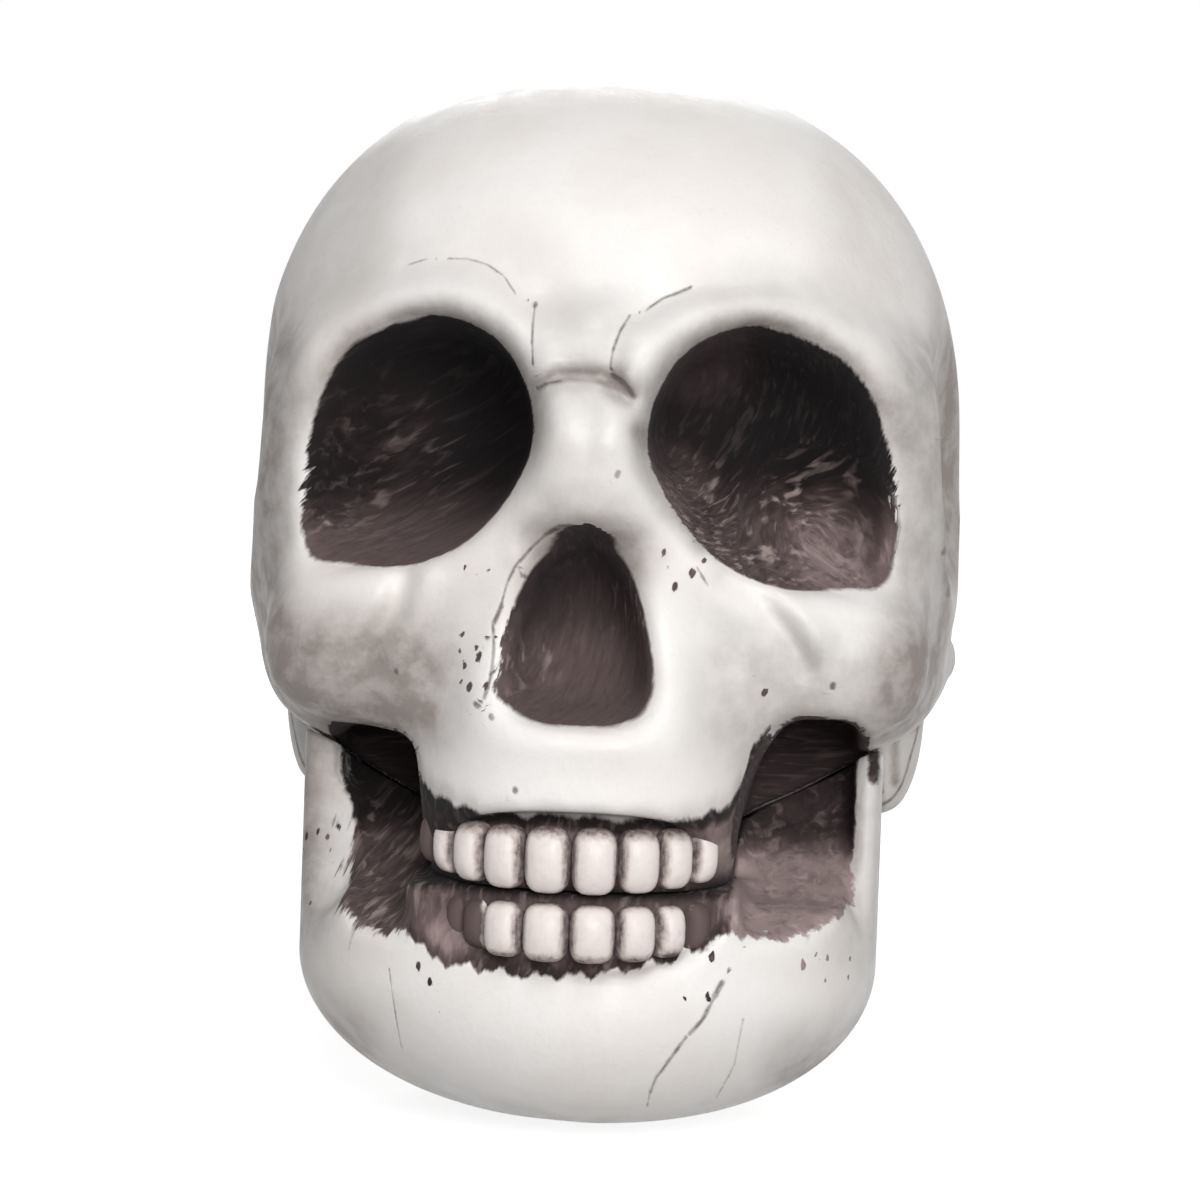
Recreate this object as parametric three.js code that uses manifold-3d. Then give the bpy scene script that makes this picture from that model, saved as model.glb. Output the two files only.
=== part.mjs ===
// A decorative skull at half of life size: face shell, rear shell and lower jaw, cemented together.
// Millimetres, +Z up. The face looks along -Y, and the skull stands on its flat underside at z = 0.
import * as THREE from "three";
import * as BufferGeometryUtils from "three/addons/utils/BufferGeometryUtils.js";
import Module from "manifold-3d";

// Driving dimensions. A form is given by its centre and its half sizes.
const FIT = 0.3; // clearance between two mouldings where they seat
const WALL = 2.2; // wall of every moulding
const SEAM_Y = 8; // coronal seam, at the widest section of the cranium
const BITE_Z = 24.6; // the line where upper and lower teeth meet
const LEAN = 0.015; // the sculpted face sits a little to one side of the cranium
const LEAN_Y = 5;

// Where a size is a pair, the sculpt differs a little between its -X side and its +X side.
const CRANIUM = { y: 7, z: 63, wide: [34.6, 34.4], front: 38, back: 41, high: 37 };
const CRANIUM_POWER = { plan: 2.4, side: [2.41, 2.37] };
const FACE = { y: -4, z: 55.5, wide: [34.45, 35], front: 28.5, back: 20, high: 19.7, plan: 2.3, side: 7 };
const FACE_TAPER = { middle: 58, above: [2.2, 3.2], aboveOver: 18, below: [2.7, 2.2], belowOver: 14 };
const TEMPLE = { x: 38.8, y: -7, z: 64, wide: 9.5, deep: 11, high: 12.5 };
const ARCH_BAR = { fromX: [24.6, 26.7], from: [-17, 43.4], toX: [30.2, 31.8], to: [6, 44.2] };
const ARCH_RADIUS = { front: 3.6, back: 3.3 };
const UPPER_JAW = { y: -20, z: 34.5, wide: 15.4, deep: 16.6, high: 12.5 };
const CHEEKBONE = { x: [21.2, 22.5], y: -22.5, z: 44, wide: 9.5, deep: 8, high: 7 };
const BRIDGE = { nasion: [0, -30, 73], middle: [0, -33, 64], tip: [0, -32.8, 58.8], radius: 3.6 };
const MASTOID = { x: 27.6, y: 15.5, z: 40, wide: 4.6, deep: 7.4, high: 12.2, tip: [28.4, 27.4] };

const ORBIT = { outer: [27.2, 28.4], inner: 4.4, top: 75.9, bottom: [52.9, 52.2], depth: 16.5, mouth: -27 };
const ORBIT_WALL = { draft: 0.24, converge: 0.2, rise: 0.03 };
const NOSE = { half: 7.2, top: 57.9, bottom: 39.8, depth: 11.5, mouth: -35, draft: 0.18 };
const RIM = { brow: 1.5, nose: 1.3 };
const CHEEK_HOLLOW = { inner: [15.5, 14.8], outer: [23.3, 25], top: [37.5, 40.4], sill: 18.8, front: -27 };
const CHEEK_HOLLOW_BACK = -3.5;
const CHEEK_HOLLOW_ROUND = 1.6;

const JAW = { y: -4.4, wide: [27.5, 27.9], front: 28, back: 27.6, plan: 2.6, side: [1.96, 2.04] };
const JAW_ROUND = { z: 15.8, high: 16.25 }; // below this height the sides round in to the base
const RAMUS = { inner: [22.6, 24.2], top: 46, front: -14.5, foot: 22 };
const BITE_HALF = 16.2; // half width of the room that the upper jaw takes above the lower one
const CHIN = { y: -21.5, z: 12, wide: 14, deep: 11.4, high: 8 };
const NECK = { y: 4, wide: 23.6, deep: 17, top: 42 };
const JAW_HOLLOW = { y: -4, z: 9.5, wide: 19.5, deep: 20.5, high: 6.5 };
const NECK_HOLLOW = { y: 9.5, z: 22, wide: 19, deep: 10.2, high: 15 };

const GUM = { y: -20, z: 25, wide: 13.9, deep: 13.6, high: 10.5 };
const MOUTH = { y: -35.5, z: 24.6, wide: 15.2, deep: 8, high: 7.4 };
const ARCH = { y: -20.6, upperWide: 13.9, upperDeep: 14.6, lowerWide: 13.5, lowerDeep: 14.2 };
const UPPER_TEETH = [4.15, 3.85, 3.3, 2.7, 2.6]; // crown widths from the midline outwards
const LOWER_TEETH = [4.15, 3.65, 3.0, 2.7, 2.5];
const CROWN = { upperZ: 27.55, upperHalf: 2.95, lowerZ: 21.6, lowerHalf: 2.8, thick: 2.1 };

const LIP = { length: 4, thick: 1.1, low: 44 }; // tongue of the rear shell inside the face shell
const PEG = { radius: 1.6, height: 3, x: 7, y: -19 };
const CORD_HOLE = { radius: 2, x: 11, y: 24, top: 104, bottom: 80 };

// Smooth joins of two signed distances: k is the width of the blend.
const join = (a, b, k) => {
  const h = Math.max(k - Math.abs(a - b), 0) / k;
  return Math.min(a, b) - (h * h * k) / 4;
};
const common = (a, b, k) => -join(-a, -b, k);
const carve = (a, b, k) => common(a, -b, k);

// Signed distance to a rounded block: plan and side are the powers of its outlines, 2 for an ellipse.
function block(x, y, z, wide, deep, high, plan, side) {
  const u = Math.abs(x / wide) + 1e-5;
  const v = Math.abs(y / deep) + 1e-5;
  const w = Math.abs(z / high) + 1e-5;
  const p = u ** plan + v ** plan;
  const q = p ** (side / plan);
  const s = q + w ** side;
  const k = s ** (1 / side);
  const gx = ((k / s) * (q / p) * u ** (plan - 1)) / wide;
  const gy = ((k / s) * (q / p) * v ** (plan - 1)) / deep;
  const gz = ((k / s) * w ** (side - 1)) / high;
  return (k - 1) / Math.hypot(gx, gy, gz, 1e-4);
}

// Signed distance to a round bar that tapers from one end to the other.
function bar(x, y, z, from, to, startRadius, endRadius) {
  const run = to.map((v, i) => v - from[i]);
  const length2 = run[0] ** 2 + run[1] ** 2 + run[2] ** 2;
  const along = ((x - from[0]) * run[0] + (y - from[1]) * run[1] + (z - from[2]) * run[2]) / length2;
  const t = Math.min(Math.max(along, 0), 1);
  const dx = x - from[0] - t * run[0];
  const dy = y - from[1] - t * run[1];
  const dz = z - from[2] - t * run[2];
  return Math.hypot(dx, dy, dz) - (startRadius + (endRadius - startRadius) * t);
}

const side = (x) => Math.hypot(x, 0.2);
const clamp = (v) => Math.min(Math.max(v, 0), 1);
const MIDDLE = 2.5; // one hand's size turns into the other's over this much on each side of the midline
const forHand = ([minus, plus], hand) => (hand > 0 ? plus : minus);
const byHand = ([minus, plus], x) => minus + (plus - minus) * clamp((x + MIDDLE) / (2 * MIDDLE));

// Front outlines of the openings, as distances in the XZ plane.
function orbitOutline(x, z) {
  const s = side(x);
  let d = common(s - byHand(ORBIT.outer, x), z - ORBIT.top, 3);
  d = common(d, byHand(ORBIT.bottom, x) - z, 3);
  d = common(d, ORBIT.inner - s, 3);
  d = common(d, -0.75 * s - 0.66 * z + 44.6, 5);
  d = common(d, 0.74 * s + 0.673 * z - 66.6, 7);
  return common(d, -0.769 * s + 0.639 * z - 40.7, 5);
}

function noseOutline(x, z) {
  const s = side(x);
  let d = common(s - NOSE.half, NOSE.bottom - z, 4);
  d = common(d, 0.906 * s + 0.422 * z - 26.4, 5);
  return common(d, z - NOSE.top, 2.5);
}

// The cups behind those outlines. They narrow inwards, and the two orbits converge.
function orbitCup(x, y, z) {
  const inside = Math.max(y - ORBIT.mouth, 0);
  const outline = orbitOutline(x + Math.sign(x) * ORBIT_WALL.converge * inside, z - ORBIT_WALL.rise * inside);
  return common((outline + ORBIT_WALL.draft * inside) * 0.95, y - ORBIT.mouth - ORBIT.depth, 8);
}

function noseCup(x, y, z) {
  const inside = Math.max(y - NOSE.mouth, 0);
  return common(noseOutline(x, z) + NOSE.draft * inside, y - NOSE.mouth - NOSE.depth, 6);
}

function mouthRecess(x, y, z) {
  return block(side(x), y - MOUTH.y, z - MOUTH.z, MOUTH.wide, MOUTH.deep, MOUTH.high, 3, 2.6);
}

function gumRidge(x, y, z) {
  return block(side(x), y - GUM.y, z - GUM.z, GUM.wide, GUM.deep, GUM.high, 2.2, 3);
}

// Cranium, face, brow, cheekbones, nasal bridge and upper jaw, before anything is cut out of them.
function headForm(x, y, z) {
  const s = side(x);
  const wide = byHand(CRANIUM.wide, x);
  const deep = y > CRANIUM.y ? CRANIUM.back : CRANIUM.front;
  const sidePower = byHand(CRANIUM_POWER.side, x);
  let d = block(s, y - CRANIUM.y, z - CRANIUM.z, wide, deep, CRANIUM.high, CRANIUM_POWER.plan, sidePower);
  const above = byHand(FACE_TAPER.above, x) * clamp((z - FACE_TAPER.middle) / FACE_TAPER.aboveOver);
  const below = byHand(FACE_TAPER.below, x) * clamp((FACE_TAPER.middle - z) / FACE_TAPER.belowOver);
  const faceWide = byHand(FACE.wide, x) - above - below;
  const faceDeep = y > FACE.y ? FACE.back : FACE.front;
  d = join(d, block(s, y - FACE.y, z - FACE.z, faceWide, faceDeep, FACE.high, FACE.plan, FACE.side), 5);
  const temple = TEMPLE;
  d = carve(d, block(s - temple.x, y - temple.y, z - temple.z, temple.wide, temple.deep, temple.high, 2, 2), 6);
  const archFrom = [byHand(ARCH_BAR.fromX, x), ...ARCH_BAR.from];
  const archTo = [byHand(ARCH_BAR.toX, x), ...ARCH_BAR.to];
  d = join(d, bar(s, y, z, archFrom, archTo, ARCH_RADIUS.front, ARCH_RADIUS.back), 3);
  const upperBridge = bar(s, y, z, BRIDGE.nasion, BRIDGE.middle, BRIDGE.radius - 0.4, BRIDGE.radius);
  const lowerBridge = bar(s, y, z, BRIDGE.middle, BRIDGE.tip, BRIDGE.radius, BRIDGE.radius + 0.4);
  d = join(d, Math.min(upperBridge, lowerBridge), 5);
  const jaw = UPPER_JAW;
  d = join(d, block(s, y - jaw.y, z - jaw.z, jaw.wide, jaw.deep, jaw.high, 2.5, 2.8), 6);
  const cheek = CHEEKBONE;
  const out = s - byHand(cheek.x, x);
  d = join(d, block(out, y - cheek.y, z - cheek.z, cheek.wide, cheek.deep, cheek.high, 2.2, 2.4), 5);
  // Raised rims follow the outlines of the openings on the front of the face.
  const front = clamp((-8 - y) / 10);
  const brow = RIM.brow * (0.3 + 0.7 * clamp((z - 60) / 12));
  d -= front * brow * Math.exp(-(((orbitOutline(x, z) - 2.2) / 2.3) ** 2));
  return d - front * RIM.nose * Math.exp(-(((noseOutline(x, z) - 1.5) / 1.8) ** 2));
}

// Mastoid process, hanging behind the jaw on each side.
function mastoidForm(x, y, z, hand) {
  const out = x * hand - MASTOID.x;
  const drop = block(out, y - MASTOID.y, z - MASTOID.z, MASTOID.wide, MASTOID.deep, MASTOID.high, 2, 2.4);
  return common(drop, forHand(MASTOID.tip, hand) - z + 0.25 * out, 1);
}

// The lower jaw before its openings are cut: a bucket with a rounded bottom and a blended chin.
function jawForm(x, y, z) {
  const below = Math.max(JAW_ROUND.z - z, 0);
  const wide = byHand(JAW.wide, x);
  const deep = y > JAW.y ? JAW.back : JAW.front;
  const bucket = block(side(x), y - JAW.y, below, wide, deep, JAW_ROUND.high, JAW.plan, byHand(JAW.side, x));
  const chin = block(x, y - CHIN.y, z - CHIN.z, CHIN.wide, CHIN.deep, CHIN.high, 2, 2);
  return join(common(bucket, z - RAMUS.top, 2), chin, 6);
}

// The neck block that closes the underside. The jaw wraps round its front half.
function neckForm(x, y, z) {
  const below = Math.max(JAW_ROUND.z - z, 0);
  const neck = block(side(x), y - NECK.y, below, NECK.wide, NECK.deep, JAW_ROUND.high, 2.8, 2.2);
  return common(neck, z - NECK.top, 3);
}

// The space inside jaw and neck. It runs through the coronal seam.
function underHollowForm(x, y, z) {
  const jaw = JAW_HOLLOW;
  const nape = NECK_HOLLOW;
  const inJaw = block(side(x), y - jaw.y, z - jaw.z, jaw.wide, jaw.deep, jaw.high, 2.6, 2.6);
  const inNeck = block(side(x), y - nape.y, z - nape.z, nape.wide, nape.deep, nape.high, 3, 3);
  return join(inJaw, inNeck, 3);
}

// A closed skin, made by casting rays from a point inside a form to its surface.
// The poles lie on Z, or on Y where the form opens forwards. crowd packs columns towards the front.
function castSkin(form, centre, columns, rows, { pole = "z", crowd = 0 } = {}) {
  const across = new THREE.Vector3(1, 0, 0);
  const up = pole === "z" ? new THREE.Vector3(0, 1, 0) : new THREE.Vector3(0, 0, 1);
  const axis = new THREE.Vector3().crossVectors(across, up);
  const positions = [];
  const ray = new THREE.Vector3();
  const cast = (turn, rise) => {
    ray.copy(across).multiplyScalar(Math.cos(rise) * Math.cos(turn));
    ray.addScaledVector(up, Math.cos(rise) * Math.sin(turn)).addScaledVector(axis, Math.sin(rise));
    const at = (r) => form(centre[0] + ray.x * r, centre[1] + ray.y * r, centre[2] + ray.z * r);
    let near = 0;
    let far = 0;
    for (let step = 0; step < 200; step++) {
      const d = at(far);
      if (d > 0) break;
      near = far;
      far += Math.max(-0.7 * d, 0.05);
    }
    for (let step = 0; step < 18; step++) {
      const middle = (near + far) / 2;
      if (at(middle) > 0) far = middle;
      else near = middle;
    }
    positions.push(centre[0] + ray.x * near, centre[1] + ray.y * near, centre[2] + ray.z * near);
  };
  cast(0, -Math.PI / 2);
  for (let row = 1; row < rows; row++) {
    for (let column = 0; column < columns; column++) {
      const t = column / columns;
      const turn = 2 * Math.PI * t - crowd * Math.sin(2 * Math.PI * t) - Math.PI / 2;
      cast(turn, Math.PI * (row / rows - 0.5));
    }
  }
  cast(0, Math.PI / 2);
  const index = [];
  const last = 1 + (rows - 1) * columns;
  for (let column = 0; column < columns; column++) {
    const next = (column + 1) % columns;
    index.push(0, 1 + next, 1 + column);
    for (let row = 0; row < rows - 2; row++) {
      const low = 1 + row * columns;
      const high = low + columns;
      index.push(low + column, low + next, high + next, low + column, high + next, high + column);
    }
    index.push(last, last - columns + column, last - columns + next);
  }
  const skin = new THREE.BufferGeometry();
  skin.setAttribute("position", new THREE.Float32BufferAttribute(positions, 3));
  skin.setIndex(index);
  return skin;
}

const wasm = await Module();
wasm.setup();

function solid(geometry) {
  const bare = geometry.clone();
  bare.deleteAttribute("normal");
  bare.deleteAttribute("uv");
  const merged = BufferGeometryUtils.mergeVertices(bare, 1e-5);
  const vertProperties = new Float32Array(merged.attributes.position.array);
  const triVerts = new Uint32Array(merged.index.array);
  return new wasm.Manifold(new wasm.Mesh({ numProp: 3, vertProperties, triVerts }));
}

function skinSolid(form, centre, columns, rows, options) {
  return solid(castSkin(form, centre, columns, rows, options));
}

// Everything between two corners, used to trim a solid with flat seams.
function room(low, high) {
  const size = high.map((v, i) => v - low[i]);
  const middle = high.map((v, i) => (v + low[i]) / 2);
  return solid(new THREE.BoxGeometry(...size).translate(...middle));
}

function upright(radius, x, y, bottom, top) {
  const height = top - bottom;
  const cylinder = new THREE.CylinderGeometry(radius, radius, height, 20);
  return solid(cylinder.rotateX(Math.PI / 2).translate(x, y, bottom + height / 2));
}

// A side outline, drawn with Y to the right and Z up, cut across the head from one x to another.
function across(outline, from, to, round) {
  const bevel = { bevelThickness: round, bevelSize: round, bevelOffset: -round, bevelSegments: 2 };
  const depth = to - from - 2 * round;
  const block = new THREE.ExtrudeGeometry(outline, { depth, curveSegments: 6, ...bevel });
  const turn = new THREE.Matrix4().makeBasis(
    new THREE.Vector3(0, 1, 0),
    new THREE.Vector3(0, 0, 1),
    new THREE.Vector3(1, 0, 0),
  );
  return solid(block.translate(0, 0, from + round).applyMatrix4(turn));
}

// The hollow below a cheekbone, between upper jaw and ramus: its floor climbs to a web at the back.
function cheekHollow(hand) {
  const { sill, front } = CHEEK_HOLLOW;
  const back = CHEEK_HOLLOW_BACK;
  const inner = forHand(CHEEK_HOLLOW.inner, hand);
  const outer = forHand(CHEEK_HOLLOW.outer, hand);
  const top = forHand(CHEEK_HOLLOW.top, hand);
  const outline = new THREE.Shape();
  outline.moveTo(-FAR, sill);
  outline.lineTo(front, sill);
  outline.quadraticCurveTo(front + 10, sill + 2.5, back - 1.5, top - 6);
  outline.quadraticCurveTo(back + 1, top, back - 4, top);
  outline.lineTo(-FAR, top);
  return across(outline, hand > 0 ? inner : -outer, hand > 0 ? outer : -inner, CHEEK_HOLLOW_ROUND);
}

// What is open beside that hollow, in front of the ramus.
function ramusFront(hand) {
  const { front, foot } = RAMUS;
  const inner = forHand(RAMUS.inner, hand);
  const outline = new THREE.Shape();
  outline.moveTo(-FAR, CHEEK_HOLLOW.sill);
  outline.lineTo(CHEEK_HOLLOW.front, CHEEK_HOLLOW.sill);
  outline.quadraticCurveTo(front - 1, CHEEK_HOLLOW.sill, front, foot + 4);
  outline.lineTo(front + 2, FAR);
  outline.lineTo(-FAR, FAR);
  return across(outline, hand > 0 ? inner : -FAR, hand > 0 ? FAR : -inner, 0.8);
}

// One tooth crown stands on the dental arch and turns with it.
function crown(x, y, z, width, half, turn) {
  const form = (px, py, pz) => block(px, py, pz, width / 2, CROWN.thick, half, 2.6, 3.2);
  return solid(castSkin(form, [0, 0, 0], 10, 6).rotateZ(turn).translate(x, y, z));
}

// Crowns are set side by side along an ellipse, from the midline outwards on both sides.
function toothRow(widths, wide, deep, z, half) {
  const crowns = [];
  let turn = 0;
  widths.forEach((width, place) => {
    const arc = (angle) => width / Math.hypot(wide * Math.cos(angle), deep * Math.sin(angle));
    const middle = turn + arc(turn + arc(turn) / 2) / 2;
    turn += arc(middle);
    const facing = Math.atan2(deep * Math.sin(middle), wide * Math.cos(middle));
    const y = ARCH.y - deep * Math.cos(middle);
    for (const hand of [-1, 1]) {
      const x = hand * wide * Math.sin(middle);
      const height = half * (1 - 0.035 * place);
      crowns.push(crown(x, y, z + 0.05 * place * place, width * 0.98, height, hand * facing));
    }
  });
  return crowns;
}

const FAR = 120;
const HEAD_CENTRE = [0, 4, 60];
const HEAD_COLUMNS = 54;
const HEAD_ROWS = 34;
const WALL_COLUMNS = 32;
const WALL_ROWS = 18;
const addAll = (first, others) => others.reduce((sum, other) => sum.add(other), first);
const cutAll = (first, others) => others.reduce((rest, other) => rest.subtract(other), first);
const bothSides = (make) => [make(-1), make(1)];

const headSkin = (offset, columns = HEAD_COLUMNS, rows = HEAD_ROWS) =>
  skinSolid((x, y, z) => headForm(x, y, z) + offset, HEAD_CENTRE, columns, rows, { crowd: 0.4 });
const mouth = skinSolid(mouthRecess, [0, MOUTH.y, MOUTH.z], 22, 9, { pole: "y" });
const gums = skinSolid(gumRidge, [0, GUM.y, GUM.z], 28, 9);
const neck = skinSolid(neckForm, [0, NECK.y, 20], 32, 14);
const underHollow = skinSolid(underHollowForm, [0, 2, 12], 24, 12);
const cheekHollows = bothSides(cheekHollow);
const ahead = room([-FAR, -FAR, 0], [FAR, SEAM_Y - FIT / 2, FAR]);
const behind = room([-FAR, SEAM_Y + FIT / 2, 0], [FAR, FAR, FAR]);

// Cups open forwards, so their cutters are capped in front of the face.
const capped = (form) => (x, y, z) => Math.max(form(x, y, z), -50 - y);
const orbitCut = (hand) => skinSolid(capped(orbitCup), [hand * 16, -26, 64], 26, 12, { pole: "y" });
const noseCut = skinSolid(capped(noseCup), [0, -32, 47], 18, 9, { pole: "y" });

// Face shell: forehead, orbit cups, nose, cheekbones and upper jaw in one moulding, open at the back.
function faceShell() {
  const hollowForm = (x, y, z) =>
    Math.max(headForm(x, y, z) + WALL, WALL - orbitCup(x, y, z), WALL - noseCup(x, y, z), 38 + WALL - z);
  const hollow = skinSolid(hollowForm, HEAD_CENTRE, WALL_COLUMNS, WALL_ROWS, { crowd: 0.4 });
  const upperGum = gums.intersect(room([-FAR, -FAR, BITE_Z], [FAR, -17, 36]));
  const teeth = toothRow(UPPER_TEETH, ARCH.upperWide, ARCH.upperDeep, CROWN.upperZ, CROWN.upperHalf);
  let shell = cutAll(headSkin(0), [mouth, ...cheekHollows]);
  shell = addAll(shell.add(upperGum), teeth);
  shell = cutAll(shell, [...bothSides(orbitCut), noseCut, hollow]);
  const aboveBite = room([-FAR, -FAR, BITE_Z + FIT / 2], [FAR, FAR, FAR]);
  const pegTop = BITE_Z + PEG.height;
  const pegHole = (hand) => upright(PEG.radius + FIT, hand * PEG.x, PEG.y, BITE_Z - 1, pegTop + FIT);
  return cutAll(shell.intersect(ahead).intersect(aboveBite), bothSides(pegHole));
}

// Rear shell: back of the cranium, mastoids and neck, with a tongue that locates in the face shell.
function rearShell() {
  const thickening = (y) => (LIP.thick + FIT) * clamp((SEAM_Y + 9 - y) / 8);
  const hollowForm = (x, y, z) => headForm(x, y, z) + WALL + thickening(y);
  const hollow = skinSolid(hollowForm, [0, SEAM_Y + 2, 62], 28, 16);
  const tongueRoom = room([-FAR, SEAM_Y - LIP.length, LIP.low], [FAR, SEAM_Y + 3, FAR]);
  const tongueOuter = headSkin(WALL + FIT, WALL_COLUMNS, WALL_ROWS).intersect(tongueRoom);
  const tongue = tongueOuter.subtract(headSkin(WALL + FIT + LIP.thick, WALL_COLUMNS, WALL_ROWS));
  const mastoid = (hand) =>
    skinSolid((x, y, z) => mastoidForm(x, y, z, hand), [hand * MASTOID.x, MASTOID.y, MASTOID.z], 14, 9);
  const { radius, x: holeX, y: holeY, bottom, top } = CORD_HOLE;
  const cordHole = (hand) => upright(radius, hand * holeX, holeY, bottom, top);
  const skull = cutAll(addAll(headSkin(0), bothSides(mastoid)), [hollow, ...bothSides(cordHole)]);
  const hollowNeck = cutAll(neck, [underHollow, hollow]);
  return skull.add(hollowNeck).intersect(behind).add(tongue);
}

// Lower jaw: chin, lower teeth, rami and the webs in the cheek hollows, seated under the face shell.
function lowerJaw() {
  const aboveBite = room([-FAR, -FAR, BITE_Z - FIT / 2], [FAR, FAR, FAR]);
  const belowBite = room([-FAR, -FAR, 12], [FAR, -8, BITE_Z - FIT / 2]);
  const bite = room([-BITE_HALF, -FAR, BITE_Z - FIT / 2], [BITE_HALF, RAMUS.front, FAR]);
  const headClear = headSkin(-FIT).intersect(aboveBite);
  const bucket = skinSolid(jawForm, [0, -2, 22], 44, 24, { crowd: 0.2 });
  const row = toothRow(LOWER_TEETH, ARCH.lowerWide, ARCH.lowerDeep, CROWN.lowerZ, CROWN.lowerHalf);
  const teeth = row.map((tooth) => tooth.intersect(belowBite));
  let jaw = cutAll(bucket.add(neck), [mouth, ...cheekHollows, ...bothSides(ramusFront), bite, headClear]);
  jaw = addAll(jaw.add(gums.intersect(belowBite)), teeth);
  const peg = (hand) => upright(PEG.radius, hand * PEG.x, PEG.y, BITE_Z - 2, BITE_Z + PEG.height);
  return addAll(jaw.subtract(underHollow), bothSides(peg)).intersect(ahead);
}

function largest(body) {
  return body.decompose().reduce((best, part) => (part.volume() > best.volume() ? part : best));
}

const shellPlastic = new THREE.MeshStandardMaterial({ color: "#f3efe9", roughness: 0.42, metalness: 0 });
const rearPlastic = new THREE.MeshStandardMaterial({ color: "#d8d2c9", roughness: 0.5, metalness: 0 });
const jawPlastic = new THREE.MeshStandardMaterial({ color: "#ebe6df", roughness: 0.42, metalness: 0 });

// The whole head leans by a shear across its depth, which keeps the flat seams and the base flat.
const lean = new THREE.Matrix4().set(1, -LEAN, 0, LEAN * LEAN_Y, 0, 1, 0, 0, 0, 0, 1, 0, 0, 0, 0, 1);

function mesh(name, body, material) {
  const made = largest(body).getMesh();
  const geometry = new THREE.BufferGeometry();
  geometry.setAttribute("position", new THREE.Float32BufferAttribute(made.vertProperties, 3));
  geometry.setIndex([...made.triVerts]);
  geometry.applyMatrix4(lean);
  const piece = new THREE.Mesh(geometry, material);
  piece.name = name;
  return piece;
}

const skull = new THREE.Group();
skull.add(mesh("face_shell", faceShell(), shellPlastic));
skull.add(mesh("rear_shell", rearShell(), rearPlastic));
skull.add(mesh("lower_jaw", lowerJaw(), jawPlastic));
export default skull;
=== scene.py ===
import math

import bpy
import bmesh
import numpy as np
from mathutils import Matrix, Vector


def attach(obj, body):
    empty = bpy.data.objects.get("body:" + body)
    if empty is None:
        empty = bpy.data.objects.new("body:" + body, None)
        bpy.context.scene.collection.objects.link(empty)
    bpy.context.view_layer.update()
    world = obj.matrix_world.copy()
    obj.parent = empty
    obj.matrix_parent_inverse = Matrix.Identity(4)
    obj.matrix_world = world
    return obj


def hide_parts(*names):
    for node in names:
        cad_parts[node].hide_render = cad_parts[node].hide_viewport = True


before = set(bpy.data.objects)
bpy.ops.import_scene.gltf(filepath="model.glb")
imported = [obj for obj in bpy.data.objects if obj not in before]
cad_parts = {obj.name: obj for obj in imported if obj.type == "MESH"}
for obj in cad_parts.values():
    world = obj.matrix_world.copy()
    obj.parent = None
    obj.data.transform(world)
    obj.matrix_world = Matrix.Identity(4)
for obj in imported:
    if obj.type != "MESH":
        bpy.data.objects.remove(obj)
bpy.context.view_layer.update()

# The studio: the skull is seen from the front at eye height, a little from its left, and the head
# tilts two degrees. It stands on a plain white sweep under one broad soft light and a weak fill.
MM = 0.001
CAMERA_TURN = math.radians(3.5)
CAMERA_RISE = math.radians(3.0)
CAMERA_TILT = math.radians(2.0)
CAMERA_AWAY = 400.0
CAMERA_LENS = 123.7
CAMERA_AIM = Vector((-0.05, 0.0, 49.1))
WHITE = (1.0, 1.0, 1.0, 1.0)
SWEEP_GREY = (0.6, 0.6, 0.6, 1.0)
SWEEP_HALF = 4.0
SWEEP_Z = -0.0002
FILL_COLOUR = (0.97, 0.99, 1.0, 1.0)
FILL_STRENGTH = 0.05
LAMP_COLOUR = (1.0, 0.995, 0.99)
LAMP_AIM = Vector((0, 0, 0.055))


def placed(name, data):
    """An object in the scene, at the origin."""
    made = bpy.data.objects.new(name, data)
    bpy.context.scene.collection.objects.link(made)
    return made


def add(tree, kind, inputs=None, **settings):
    """A node of a tree. Each input is a value to set or a socket to link."""
    made = tree.nodes.new(kind)
    for name, value in settings.items():
        setattr(made, name, value)
    for key, value in (inputs or {}).items():
        if isinstance(value, bpy.types.NodeSocket):
            tree.links.new(value, made.inputs[key])
        else:
            made.inputs[key].default_value = value
    return made


def maths(tree, operation, a, b=0.0, c=0.0):
    return add(tree, "ShaderNodeMath", {0: a, 1: b, 2: c}, operation=operation).outputs[0]


def between(tree, value, low, high, to_low=0.0, to_high=1.0):
    """A soft step of a value from low to high."""
    inputs = {"Value": value, "From Min": low, "From Max": high, "To Min": to_low, "To Max": to_high}
    return add(tree, "ShaderNodeMapRange", inputs, interpolation_type="SMOOTHSTEP").outputs[0]


def new_material(name, specular):
    """A material with its tree and its one Principled shader."""
    material = bpy.data.materials.new(name)
    material.use_nodes = True
    shader = material.node_tree.nodes["Principled BSDF"]
    shader.inputs["Specular IOR Level"].default_value = specular
    return material, material.node_tree, shader


camera_data = bpy.data.cameras.new("camera")
camera_data.sensor_width = 36.0
camera_data.lens = CAMERA_LENS
camera_data.clip_start = 0.01
camera = placed("camera", camera_data)
camera_turn = Matrix.Rotation(CAMERA_TURN, 4, "Z") @ Matrix.Rotation(math.pi / 2 - CAMERA_RISE, 4, "X")
camera_turn = camera_turn @ Matrix.Rotation(CAMERA_TILT, 4, "Z")
camera_back = Matrix.Translation((0, 0, CAMERA_AWAY * MM))
camera.matrix_world = Matrix.Translation(CAMERA_AIM * MM) @ camera_turn @ camera_back
bpy.context.scene.camera = camera
bpy.context.scene.view_settings.view_transform = "Standard"


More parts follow.
